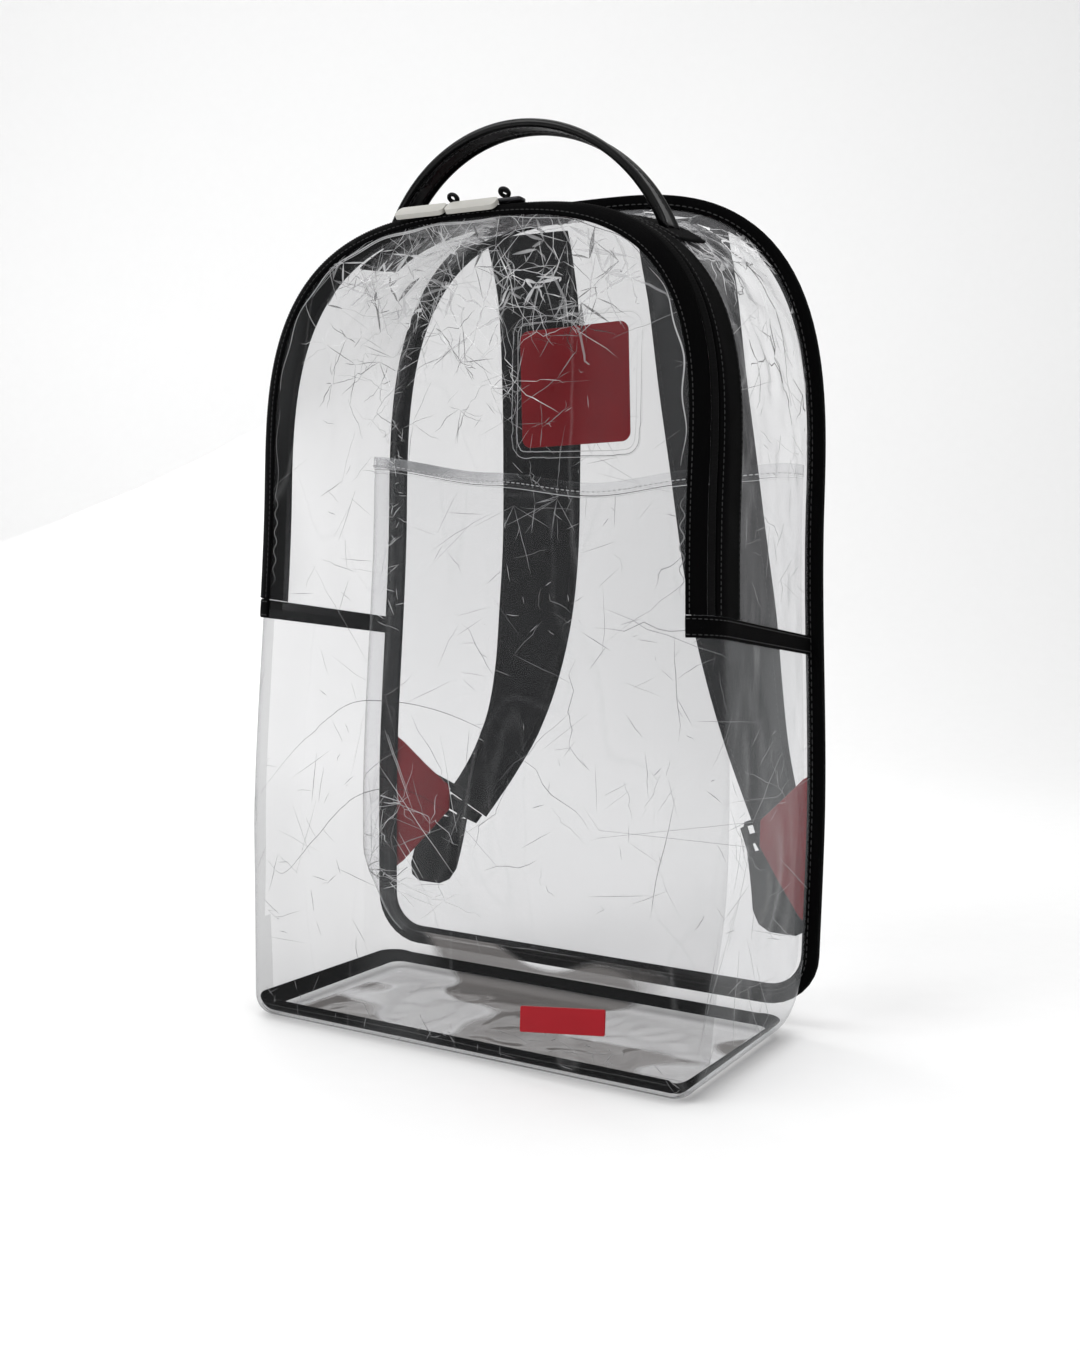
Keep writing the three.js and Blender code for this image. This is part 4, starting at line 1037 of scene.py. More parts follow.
# How far the pocket stands off the back panel, as (place across, share) rows, and how its hem sags
SLEEVE_STAND_OFF = ((-1, 0.0), (-0.993, 0.9), (-0.965, 1.0), (-0.88, 0.97), (-0.6, 0.72), (-0.2, 0.6),
                    (0.3, 0.5), (0.7, 0.46), (0.94, 0.4), (0.985, 0.24), (1, 0.0))
SLEEVE_HEM_SAG = ((-1, -0.5), (-0.4, 0.4), (0.1, 1.0), (0.6, 0.3), (1, 0.0))
SLEEVE_ACROSS = np.unique(np.concatenate([
    np.linspace(-1, -0.96, 9), np.linspace(-0.96, 0.93, 70), np.linspace(0.93, 1, 9),
]))


def sleeve_point(across, z, tight, out):
    """Point of the pocket. across is -1 to 1 from wall to wall, tight is 0 flat on the panel to 1."""
    stand = SLEEVE_DEPTH * from_table(SLEEVE_STAND_OFF, across) * tight + GAP + out
    y = BACK_Y - stand
    depth = (y - FRONT_Y) / BAG_DEPTH
    radius = corner_radius(depth)
    sunk = np.clip(base_height(1.0) + radius - z, 0, radius)
    room = half_width(z, depth) - radius + np.sqrt(radius**2 - sunk**2) - SHEET - HEM_THICK
    return np.stack(np.broadcast_arrays(across * room, y, z), -1)


def hem_height(across):
    """Height of the pocket's sagging top edge."""
    return SLEEVE_HEIGHT - SLEEVE_SAG * from_table(SLEEVE_HEM_SAG, across)


def sleeve_grid():
    foot = BASE_RISE + SLEEVE_FOOT
    rows = np.linspace(0, 1, SLEEVE_ROWS)[:, None]
    across = SLEEVE_ACROSS[None]
    z = lerp(foot, hem_height(across) - HEM_WIDTH - GAP, rows)
    tight = lerp(0.3, 1, smooth(rows * 5))
    grid = sleeve_point(across, z, tight, SHEET)
    rest = smooth((1 - np.abs(across)) * 9) * smooth(rows * 8) * smooth((1 - rows) * 7)
    hang = SLEEVE_HANG * noise_at(grid, (14, 14, 120), 33.0)
    grid[..., 1] -= np.clip(crumple(grid, "sleeve") + hang, *SLEEVE_REACH) * rest
    return grid


# Place of the hem's seam, as a share of its width from the top
HEM_SEAM = 0.78


def hem_rings():
    across = SLEEVE_ACROSS
    section = slab_section(HEM_WIDTH, 0.0, HEM_THICK, 6)
    z = hem_height(across)[:, None] - section[:, 0]
    return sleeve_point(across[:, None], z, 1.0, section[:, 1])


class BACKPACK_OT_sheets(bpy.types.Operator):
    """Builds the clear front, gusset, base and back"""

    bl_idname = "backpack.sheets"
    bl_label = "Clear sheets"
    bl_options = {"REGISTER", "UNDO"}

    def execute(self, _context):
        look = looks()
        grid, shown = front_sheet_grid()
        front = surface("front_vinyl", grid, clear_vinyl("vinyl_front", look.front_clear), shown, True)
        front.data.materials.append(clear_vinyl("vinyl_walls", look.wall_clear - 0.02))
        for face in front.data.polygons:
            face.material_index = int(face.center.y > (FRONT_Y + WALL_START) * MM)
        finish_piece(front, "clear_vinyl", "front_sheet")
        for word, grid, closed, node in (
            ("gusset", gusset_grid(), False, "upper_gusset"),
            ("base", base_grid(), False, "base_panel"),
            ("back", back_grid(), True, "back_panel"),
        ):
            vinyl = clear_vinyl(f"vinyl_{word}", look.wall_clear)
            finish_piece(surface(f"{word}_vinyl", grid, vinyl, None, closed), "clear_vinyl", node)
        return {"FINISHED"}


class BACKPACK_OT_sleeve(bpy.types.Operator):
    """Builds the clear pocket inside the back, with its hem"""

    bl_idname = "backpack.sleeve"
    bl_label = "Sleeve pocket"
    bl_options = {"REGISTER", "UNDO"}

    def execute(self, _context):
        vinyl = clear_vinyl("vinyl_sleeve", looks().wall_clear)
        finish_piece(surface("sleeve_vinyl", sleeve_grid(), vinyl), "clear_vinyl", "inner_sleeve")
        hem_vinyl = clear_vinyl("vinyl_hem", looks().wall_clear)
        finish_piece(tube("sleeve_hem_band", hem_rings(), hem_vinyl), "clear_vinyl", "sleeve_hem")
        across = SLEEVE_ACROSS
        path = sleeve_point(across, hem_height(across) - HEM_WIDTH * HEM_SEAM, 1.0, HEM_THICK)
        front = np.tile([0.0, -1.0, 0.0], (len(across), 1))
        clear_thread = thread("clear_thread", THREAD_CLEAR)
        finish_piece(stitches("sleeve_hem_stitches", [(path, front)], clear_thread, "hem"), "clear_vinyl")
        return {"FINISHED"}


# Zip band

# Length of coil between rings of its mesh, a third of a rib, and the height of a rib
COIL_PITCH = 0.55
COIL_RIDGE = 0.32


class BACKPACK_OT_zip(bpy.types.Operator):
    """Builds the two tapes of the zip, its coil and their seams"""

    bl_idname = "backpack.zip_band"
    bl_label = "Zip band"
    bl_options = {"REGISTER", "UNDO"}

    def execute(self, _context):
        tape = woven_tape("zip_tape_weave", 0.0009, 1.0, 0.0003)
        lift = STRIP_WIDTH / 2 + GAP
        for name, start, width in (
            ("zip_tape_front", band_start, FRONT_TAPE_WIDTH),
            ("zip_tape_rear", lambda s: coil_start(s) + COIL_WIDTH + GAP, REAR_TAPE_WIDTH),
        ):
            section = slab_section(width, GAP, TAPE_OUT, max(int(width / 1.2), 6))
            climb, side = ARCH_CLIMB[:, None], ARCH_SIDE[:, None]
            rings = on_arch(lambda s: start(s) + section[:, 0], section[:, 1], lift, climb, side)
            finish_piece(tube(f"{name}_woven", rings, tape), "black_tape", name)
        self.coil(lift)
        self.seams(lift)
        return {"FINISHED"}

    def coil(self, lift):
        """Ribs of the closed coil on a thin tape."""
        fine = np.linspace(0, 2, 420)
        climb = np.concatenate([fine, fine[:-1][::-1]])
        side = np.concatenate([-np.ones(len(fine)), np.ones(len(fine) - 1)])
        middle = on_arch(lambda s: coil_start(s) + COIL_WIDTH / 2, TAPE_OUT, lift, climb, side)
        places, _along = resample(middle, COIL_PITCH)
        run = lengths(middle)
        at = np.interp(lengths(places) + 0.3, run, np.arange(len(run)))
        climb = np.interp(at, np.arange(len(run)), climb)
        side = np.where(at < len(fine) - 1, -1.0, 1.0)
        ridge = COIL_RIDGE * (np.arange(len(climb)) % 3 == 1)
        section = slab_section(COIL_WIDTH, GAP, TAPE_OUT, 5, 0.35)
        out = section[:, 1] + (section[:, 1] > TAPE_OUT - 0.2) * ridge[:, None]
        rings = on_arch(lambda s: coil_start(s) + section[:, 0], out, lift, climb[:, None], side[:, None])
        black = plastic("coil_plastic", COIL_BLACK, 0.8, 0.0, 0.06)
        finish_piece(tube("zip_coil_ribs", rings, black), "black_plastic", "zip_coil")

    def seams(self, lift):
        """Seams along both edges of the rear tape and the inner edge of the front one."""
        rows = []
        for offset in (
            lambda s: band_start(s) + 2.0,
            lambda s: coil_start(s) + COIL_WIDTH + GAP + 3.0,
            lambda s: band_end(s) - 2.2,
        ):
            path = on_arch(offset, TAPE_OUT, lift)
            rows.append((path, on_arch(offset, TAPE_OUT + 1, lift) - path))
        black_thread = thread("black_thread", THREAD_BLACK)
        finish_piece(stitches("zip_stitches", rows, black_thread, "zip"), "black_tape")


# Binding

RIM_ROUND = 2.2
# Distance of the seams from the edges of their strips
STRIP_SEAM = 1.6
CARRIER_SEAM = 2.5
# Name, thread pitch in metres, stretch and lightness of the painted sheen on the binding's weave
BLACK_WEAVE = ("binding_weave", 0.0013, 0.8, 0.0004)


def rim_section():
    """Rounded U of the folded binding: (out from the outline, depth) rows."""
    front = BACK_Y - GAP
    back = BACK_Y + SHEET + GAP
    outer_front = front - RIM_FRONT_LIP
    outer_back = back + RIM_BACK_LIP
    centre = RIM_REACH - RIM_ROUND
    turns = np.radians(np.linspace(0, 90, 6))
    fore = np.stack([centre + RIM_ROUND * np.sin(turns), outer_front + RIM_ROUND * (1 - np.cos(turns))], -1)
    aft = np.stack([centre + RIM_ROUND * np.cos(turns), outer_back - RIM_ROUND * (1 - np.sin(turns))], -1)
    inner = [(GAP, front), (GAP - 0.2, front - RIM_FRONT_LIP / 2)]
    inner += [(GAP + 0.3, outer_front + 0.3), (GAP + 1.2, outer_front)]
    face = [(3.0, outer_front - 0.25), (4.4, outer_front - 0.15)]
    tail = [(4.0, outer_back + 0.15), (1.0, outer_back + 0.2), (-RIM_LAP + 1, outer_back)]
    lap = [(-RIM_LAP, outer_back - 0.8), (-RIM_LAP, back)]
    slot = [(RIM_REACH - RIM_WEB, back), (RIM_REACH - RIM_WEB, front)]
    return np.concatenate([inner, face, fore, aft, tail, lap, slot])


class BACKPACK_OT_binding(bpy.types.Operator):
    """Builds the back rim, the base binding, the side strips and the handle's carrier"""

    bl_idname = "backpack.binding"
    bl_label = "Black binding"
    bl_options = {"REGISTER", "UNDO"}

    def execute(self, _context):
        tape = woven_tape(*BLACK_WEAVE)
        black_thread = thread("black_thread", THREAD_BLACK)
        self.rim(tape, black_thread)
        self.base(tape)
        self.strips(tape, black_thread)
        self.carrier(black_thread)
        return {"FINISHED"}

    def rim(self, tape, black_thread):
        section = rim_section()
        x, z = outline(LOOP_STAGE, 1.0)
        nx, nz = outward_normal(LOOP_STAGE, 1.0)

        def round_rim(out, y):
            return np.stack(np.broadcast_arrays(
                LOOP_SIDE[:, None] * (x[:, None] + nx[:, None] * out), y, z[:, None] + nz[:, None] * out,
            ), -1)

        rings = round_rim(section[None, :, 0], section[None, :, 1])
        finish_piece(tube("back_rim_binding", rings, tape, True), "black_tape", "back_rim")
        rows = []
        for reach, y, way in (
            (2.0, BACK_Y - GAP - RIM_FRONT_LIP - 0.2, -1),
            (-1.4, BACK_Y + SHEET + GAP + RIM_BACK_LIP, 1),
        ):
            path = round_rim(reach, y)[:, 0]
            rows.append((path, np.tile([0.0, way, 0.0], (len(path), 1))))
        finish_piece(stitches("rim_stitches", rows, black_thread, "rim", True), "black_tape")

    def base(self, tape):
        corner = np.linspace(0, 90, 13)
        run = np.linspace(-1, 1, 60)[1:-1]
        nodes = []
        for side, way, turned in ((1, -1, False), (1, 1, True), (-1, 1, False), (-1, -1, True)):
            swings = corner[::-1] if turned else corner
            nodes += [(side, way, swing, 1.0) for swing in swings]
            if turned:
                nodes += [(np.sign(x), way, 0.0, abs(x)) for x in run * -side]
        section = slab_section(BINDING_WIDTH, 0.0, BINDING_THICK, 7)
        rings = np.array([self.base_ring(*node, section) for node in nodes])
        finish_piece(tube("base_binding_fold", rings, tape, True), "black_tape", "base_binding")

    def base_ring(self, side, way, swing, inset, section):
        """One ring. way is -1 at the front and 1 at the back, swing is 0 on a run and 90 on a side."""
        run_radius = BASE_ROLL if way < 0 else BASE_BACK_ROLL
        side_radius = BASE_CORNER if way < 0 else BACK_CORNER
        narrow = lerp(BACK_RUN_SHARE, 1, swing / 90) if way > 0 else 1
        radius = lerp(run_radius, side_radius, swing / 90)
        slope = BINDING_LOW_ANGLE + np.degrees(section[:, 0] * narrow / radius)
        to_side, to_run = math.sin(math.radians(swing)), math.cos(math.radians(swing))
        stage = inset + slope / 90 * to_side
        back_y = FRONT_Y + FLAT_END + BASE_BACK_ROLL * np.sin(np.radians(slope)) * to_run
        turn = 1 - slope / 90 * to_run if way < 0 else turn_at_depth(stage, back_y)
        return skin(side, stage, turn, -SHEET - BINDING_GAP - section[:, 1])

    def strips(self, tape, black_thread):
        turns = np.concatenate([
            np.linspace(BAND_START_ANGLE / 90, 1, 16),
            np.linspace(1, 2 - (RIM_FRONT_LIP + 2 * GAP) / (BAG_DEPTH - FACE_CORNER), 30)[1:],
        ])[:, None]
        section = slab_section(STRIP_WIDTH, GAP, GAP + STRIP_THICK, 8, 0.25)
        depth = (skin(1, 3, turns)[..., 1] - FRONT_Y) / BAG_DEPTH
        height = section[:, 0] - STRIP_WIDTH / 2
        stage = np.where(height < 0, below_seam(-height, depth), above_seam(height, depth))
        for side, word in ((-1, "left"), (1, "right")):
            rings = skin(side, stage, turns, section[:, 1])
            name = f"side_strip_{word}"
            finish_piece(tube(f"{name}_fold", rings, tape), "black_tape", name)
            rows = []
            for offset in (STRIP_WIDTH / 2 - STRIP_SEAM, -STRIP_WIDTH / 2 + STRIP_SEAM):
                place = depth[:, 0]
                row_stage = above_seam(offset, place) if offset > 0 else below_seam(-offset, place)
                path = skin(side, row_stage, turns[:, 0], GAP + STRIP_THICK + 0.1)
                rows.append((path, skin(side, row_stage, turns[:, 0], 3.0) - path))
            finish_piece(stitches(f"{name}_stitches", rows, black_thread, "strip"), "black_tape")

    def carrier(self, black_thread):
        end = 4 + CARRIER_END_ANGLE / 90
        half = np.linspace(end, 5, 40)
        stage = np.concatenate([half, half[:-1][::-1]])[:, None]
        side = np.concatenate([-np.ones(len(half)), np.ones(len(half) - 1)])[:, None]
        section = slab_section(CARRIER_WIDTH, CARRIER_GAP, CARRIER_GAP + CARRIER_THICK, 24)
        turn = turn_at_depth(stage, HANDLE_Y - CARRIER_WIDTH / 2 + section[:, 0])
        mesh_tape = woven_tape("carrier_mesh", 0.0022, 1.0, 0.005)
        band = tube("handle_carrier_tape", skin(side, stage, turn, section[:, 1]), mesh_tape)
        finish_piece(band, "black_tape", "handle_carrier")
        rows = []
        for offset in (-CARRIER_WIDTH / 2 + CARRIER_SEAM, CARRIER_WIDTH / 2 - CARRIER_SEAM):
            row_turn = turn_at_depth(stage[:, 0], HANDLE_Y + offset)
            path = skin(side[:, 0], stage[:, 0], row_turn, CARRIER_GAP + CARRIER_THICK)
            rows.append((path, skin(side[:, 0], stage[:, 0], row_turn, 4.0) - path))
        finish_piece(stitches("carrier_stitches", rows, black_thread, "carrier"), "black_tape")


# Handle

def handle_section():
    """Flat middle with a rolled bead along each edge: (across, up) rows."""
    half = HANDLE_WIDTH / 2
    bead = HANDLE_THICK * 0.62
    middle = HANDLE_THICK * 0.3
    turns = np.radians(np.linspace(130, -130, 13))
    right = np.stack([half - bead + bead * np.cos(turns), bead * np.sin(turns)], -1)
    inner = half - 2.1 * bead
    places = np.linspace(-1, 1, 5)
    crown = np.interp(np.abs(places), (0, 0.5, 1), (1.15, 1.1, 1))
    top = np.stack([inner * places, middle * crown], -1)
    left = right * [-1, 1]
    return np.concatenate([top, right, (top * [1, -1])[::-1], left[::-1]])


class BACKPACK_OT_handle(bpy.types.Operator):
    """Builds the arched carry handle with its beaded edges"""

    bl_idname = "backpack.handle"
    bl_label = "Carry handle"
    bl_options = {"REGISTER", "UNDO"}

    def execute(self, _context):
        seat_out = CARRIER_GAP + CARRIER_THICK
        seat = top_height(HANDLE_HALF_SPAN, HANDLE_Y, seat_out)
        rise = HANDLE_TOP - HANDLE_THICK / 2 - seat
        radius = (HANDLE_HALF_SPAN**2 + rise**2) / (2 * rise)
        end = math.asin(HANDLE_HALF_SPAN / radius)
        angles = np.linspace(-end, end, 90)
        centre = HANDLE_TOP - HANDLE_THICK / 2 - radius
        lean = HANDLE_LEAN * (np.cos(angles) - math.cos(end)) / (1 - math.cos(end))
        up = np.stack([np.sin(angles), np.zeros(len(angles)), np.cos(angles)], -1)
        level = np.full(len(angles), centre)
        points = np.stack([np.full(len(angles), HANDLE_X), HANDLE_Y + lean, level], -1) + radius * up
        across = np.tile([0.0, 1.0, 0.0], (len(angles), 1))
        rings = swept(points, across, up, handle_section())
        for ring in (rings[0], rings[-1]):
            ring[:, 2] = top_height(ring[:, 0], ring[:, 1], seat_out)
        finish_piece(tube("carry_handle", rings, handle_leather()), "handle_leather", "handle")
        inner = HANDLE_WIDTH / 2 - HANDLE_THICK * 1.55
        rows = []
        for offset in (-inner, inner):
            for way in (1, -1):
                path = points + across * offset + up * way * HANDLE_THICK * 0.33
                rows.append((path[4:-4], up[4:-4] * way))
        black_thread = thread("black_thread", THREAD_BLACK)
        finish_piece(stitches("handle_stitches", rows, black_thread, "handle"), "handle_leather")
        return {"FINISHED"}


# Shoulder straps

# Strap from top to end: shares of its fall, its swing outwards, its distance off the back and its width
STRAP_ROWS = np.array([
    (0, 0, 0.14, 1), (0.05, 0, 0.28, 1), (0.12, 0.02, 0.45, 1), (0.25, 0.07, 0.62, 1), (0.38, 0.14, 0.78, 1),
    (0.52, 0.22, 0.93, 1), (0.64, 0.32, 1.02, 0.97), (0.75, 0.44, 1.06, 0.85), (0.84, 0.58, 1.04, 0.72),
    (0.91, 0.74, 0.96, 0.62), (0.96, 0.88, 0.87, 0.57), (1, 1, 0.76, 0.56),
])


def smooth_rows(table, count):
    """Catmull-Rom curve through the rows of a table."""
    padded = np.concatenate([2 * table[:1] - table[1:2], table, 2 * table[-1:] - table[-2:-1]])
    places = np.linspace(0, len(table) - 1, count)
    rows = []
    for place in places:
        i = min(int(place), len(table) - 2)
        t = place - i
        a, b, c, d = padded[i:i + 4]
        square = 2 * a - 5 * b + 4 * c - d
        cube = 3 * b - a - 3 * c + d
        rows.append(0.5 * (2 * b + (c - a) * t + square * t**2 + cube * t**3))
    return np.array(rows)


def strap_path(side, count):
    """Middle of the strap, its width, and the directions across it and up from it, from the top down."""
    down, swing, stand, width = smooth_rows(STRAP_ROWS, count).T
    points = np.stack([
        side * lerp(STRAP_TOP_X, STRAP_END_X, swing),
        PANEL_BACK + STRAP_THICK / 2 + STRAP_STAND_OFF * (stand - STRAP_ROWS[0, 2]) + GAP,
        lerp(STRAP_TOP_HEIGHT, STRAP_END_HEIGHT, down),
    ], -1)
    end_share = STRAP_ROWS[-1, 3]
    widths = lerp(STRAP_END_WIDTH, STRAP_WIDTH, np.clip((width - end_share) / (1 - end_share), 0, 1))
    across, up = frames_along(points, np.tile([0.0, 1.0, 0.0], (count, 1)))
    return points, widths, across, up


# The pad before it is filled: its share of the full thickness and how far it lies inside the binding
PAD_SLACK = 0.8
PAD_INSET = 1.0
EDGE_INSET = 3.0
# The most that a point of a pad may swell, in metres, and the steps of the filling
PAD_SWELL = 0.0022
FILL_STEPS = 20


def pad_section(width, thick, count):
    """Lens-shaped section with sewn flat edges."""
    angles = np.linspace(0, 2 * math.pi, count, endpoint=False)
    x = width / 2 * np.sign(np.cos(angles)) * np.abs(np.cos(angles)) ** 0.75
    z = thick / 2 * np.sign(np.sin(angles)) * np.abs(np.sin(angles)) ** 0.7
    return np.stack([x, z], -1)


def swell(piece, pinned, pressure, cap):
    """Fills a pad with cloth pressure and keeps the result, with each point's move capped in metres."""
    group = piece.vertex_groups.new(name="sewn")
    group.add([int(index) for index in pinned], 1.0, "REPLACE")
    cloth = piece.modifiers.new("fill", "CLOTH")
    cloth.settings.vertex_group_mass = "sewn"
    cloth.settings.use_pressure = True
    cloth.settings.uniform_pressure_force = pressure
    cloth.settings.effector_weights.gravity = 0
    cloth.settings.quality = 5
    cloth.settings.mass = 0.2
    cloth.settings.tension_stiffness = 12
    cloth.settings.compression_stiffness = 12
    cloth.settings.bending_stiffness = 0.4
    cloth.point_cache.frame_end = FILL_STEPS
    scene = bpy.context.scene
    for number in range(1, FILL_STEPS + 1):
        scene.frame_set(number)
    view = piece.evaluated_get(bpy.context.evaluated_depsgraph_get())
    rest = np.zeros(len(piece.data.vertices) * 3)
    piece.data.vertices.foreach_get("co", rest)
    moved = np.zeros_like(rest)
    view.data.vertices.foreach_get("co", moved)
    shift = (moved - rest).reshape(-1, 3)
    size = np.linalg.norm(shift, axis=-1, keepdims=True)
    shift *= np.minimum(1, cap / np.maximum(size, 1e-9))
    piece.modifiers.remove(cloth)
    piece.data.vertices.foreach_set("co", (rest.reshape(-1, 3) + shift).ravel())
    piece.data.update()
    piece.vertex_groups.remove(group)
    scene.frame_set(1)


class BACKPACK_OT_straps(bpy.types.Operator):
    """Builds the padded shoulder straps with their edge binding"""

    bl_idname = "backpack.straps"
    bl_label = "Shoulder straps"
    bl_options = {"REGISTER", "UNDO"}

    ROWS = 110
    AROUND = 40

    def execute(self, _context):
        for side, word in ((-1, "left"), (1, "right")):
            self.strap(side, word)
        return {"FINISHED"}

    def strap(self, side, word):
        points, widths, across, up = strap_path(side, self.ROWS)
        thick = STRAP_THICK * PAD_SLACK
        sections = np.array([pad_section(width - 2 * PAD_INSET, thick, self.AROUND) for width in widths])
        rings = swept(points, across, up, sections)
        pad = tube(f"strap_pad_{word}", rings, pad_fabric())
        pad.data.update()
        swell(pad, self.sewn_points(), details().pad_pressure, PAD_SWELL)
        finish_piece(pad, "black_pad", f"shoulder_strap_{word}")
        self.edges(word, points, widths, across, up)

    def sewn_points(self):
        """Vertices that the binding holds: along both edges and round both ends."""
        middle = self.AROUND // 2
        held = (0, 1, self.AROUND - 1, middle - 1, middle, middle + 1)
        last = (self.ROWS - 1) * self.AROUND
        ends = [*range(self.AROUND), *range(last, last + self.AROUND)]
        return [row * self.AROUND + j for row in range(self.ROWS) for j in held] + ends

    def edges(self, word, points, widths, across, up):
        """Folded binding along both sides of the pad, with its seam."""
        turns = np.radians(np.linspace(60, 300, 12))
        hook = np.stack([3.0 + 3.2 * np.cos(turns), 1.9 * np.sin(turns)], -1)
        inner = np.stack([hook[:, 0] * 0.7 + 1.6, hook[:, 1] * 0.6], -1)[::-1]
        section = np.concatenate([hook, inner])
        tape = woven_tape("strap_edge_weave", 0.0011, 1.0, 0.001)
        rows = []
        for way in (-1, 1):
            place = points + across * (way * (widths / 2 - EDGE_INSET))[:, None]
            outward = across * way
            rings = swept(place, -outward, up, section)
            edge = tube(f"strap_edge_{word}_{'inner' if way < 0 else 'outer'}", rings, tape)
            finish_piece(edge, "black_tape")
            for face in (-1, 1):
                rows.append((place - outward * 1.8 + up * face * 2.6, up * face))
        black_thread = thread("black_thread", THREAD_BLACK)
        finish_piece(stitches(f"strap_stitches_{word}", rows, black_thread, "strap"), "black_tape")


# Lower hardware of the straps

# Faces that turn less than the first angle are one face, and edges past the second are rounded, in degrees
FLAT_ANGLE = 2
EDGE_ANGLE = 35
# How far out a tail's middle moves for its spread, in metres
TAIL_SHIFT = 0.008


def copy_of(name, new_name, material, bevel=0.0, segments=3, level=0):
    """Copy of a fixed node's mesh with rounded edges. bevel is in millimetres."""
    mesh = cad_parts[name].data.copy()
    mesh.name = new_name
    mesh.materials.clear()
    mesh.materials.append(material)
    piece = bpy.data.objects.new(new_name, mesh)
    bpy.context.scene.collection.objects.link(piece)
    work = bmesh.new()
    work.from_mesh(mesh)
    bmesh.ops.remove_doubles(work, verts=work.verts, dist=MEETING)
    bmesh.ops.dissolve_limit(work, angle_limit=math.radians(FLAT_ANGLE), verts=work.verts, edges=work.edges)
    work.to_mesh(mesh)
    work.free()
    if bevel:
        edge = piece.modifiers.new("edges", "BEVEL")
        edge.width = bevel * MM
        edge.segments = segments
        edge.limit_method = "ANGLE"
        edge.angle_limit = math.radians(EDGE_ANGLE)
    if level:
        rounder = piece.modifiers.new("round", "SUBSURF")
        rounder.levels = rounder.render_levels = level
    mesh.polygons.foreach_set("use_smooth", [True] * len(mesh.polygons))
    return piece


class BACKPACK_OT_hardware(bpy.types.Operator):
    """Builds the webbing, adjusters and corner tabs of the straps"""

    bl_idname = "backpack.hardware"
    bl_label = "Webbing, adjusters and tabs"
    bl_options = {"REGISTER", "UNDO"}

    def execute(self, _context):
        webbing = woven_tape("webbing_weave", 0.0016, 2.2, 0.003)
        black = plastic("adjuster_plastic", ADJUSTER_BLACK, 0.6, 0.0, 0.1)
        red = red_vinyl("tab_vinyl", 0.12, 0.25)
        for word in ("left", "right"):
            for node, look, material, bevel, slot in (
                ("webbing", "woven", webbing, 0.5, "black_tape"),
                ("webbing_tail", "woven", webbing, 0.5, "black_tape"),
                ("adjuster", "frame", black, 1.0, "black_plastic"),
                ("corner_tab", "vinyl", red, 0.7, "red_vinyl"),
            ):
                piece = copy_of(f"{node}_{word}", f"{node}_{word}_{look}", material, bevel)
                if node == "webbing_tail":
                    self.widen(piece, details().tail_spread)
                finish_piece(piece, slot, f"{node}_{word}")
        return {"FINISHED"}

    def widen(self, piece, spread):
        """Spreads a folded tail sideways, away from the middle of the bag."""
        places = np.array([vertex.co for vertex in piece.data.vertices])
        middle = (places[:, 0].min() + places[:, 0].max()) / 2
        moved = middle + math.copysign(spread * TAIL_SHIFT, middle)
        places[:, 0] = moved + (places[:, 0] - middle) * (1 + spread)
        piece.data.vertices.foreach_set("co", places.ravel())
        piece.data.update()


class BACKPACK_OT_patches(bpy.types.Operator):
    """Builds the bare red patch inside the back and the bare label on the front"""

    bl_idname = "backpack.patches"
    bl_label = "Patch and label"
    bl_options = {"REGISTER", "UNDO"}

    def execute(self, _context):
        patch = copy_of("inner_patch", "inner_patch_vinyl", red_vinyl("patch_vinyl", 0.16, 0.25), 0.35)
        finish_piece(patch, "red_vinyl", "inner_patch")
        label = copy_of("front_label", "front_label_vinyl", red_vinyl("label_vinyl", 0.0, 0.2), 0.5)
        finish_piece(label, "red_vinyl", "front_label")
        return {"FINISHED"}


class BACKPACK_OT_pulls(bpy.types.Operator):
    """Builds the zip sliders, their wire loops and the pale pulls"""

    bl_idname = "backpack.pulls"
    bl_label = "Zip sliders and pulls"
    bl_options = {"REGISTER", "UNDO"}

    def execute(self, _context):
        metal = plastic("slider_metal", SLIDER_GREY, 0.32, 0.8)
        pale = plastic("pull_plastic", tuple(looks().pull_colour), 0.4, 0.0)
        for word in ("first", "second"):
            slider = copy_of(f"zip_slider_{word}", f"slider_{word}_body", metal, 0.8)
            finish_piece(slider, "zip_metal", f"zip_slider_{word}")
            loop = copy_of(f"pull_loop_{word}", f"loop_{word}_wire", metal, 0.0, level=2)
            finish_piece(loop, "zip_metal", f"pull_loop_{word}")
            grip = copy_of(f"pull_tab_{word}", f"pull_{word}_grip", pale, 1.5, 5)
            finish_piece(grip, "pale_plastic", f"pull_tab_{word}")
        return {"FINISHED"}


# Creases, coloured with painted highlights and painted dark reflections

# Long soft arcs on the front, lower left, as painted dark reflections: (x, z) in millimetres
FRONT_ARCS = (
    ((-137, 133), (-104, 167), (-72, 190), (-42, 194), (-15, 192), (10, 186), (42, 174)),
    ((-130, 95), (-116, 89), (-95, 110), (-68, 137), (-34, 146), (-1, 135), (31, 109)),
)
# Straight creases that fan over the strap's lower end, on the front, as painted highlights: x, z, then x, z
FRONT_FAN = (
    (-45, 178, -24, 133), (-43, 176, -28, 144), (-60, 186, -70, 150), (-8, 178, 4, 126), (6, 124, 30, 140),
    (-38, 120, -14, 88), (-34, 122, -18, 98), (-50, 160, 8, 96),
)
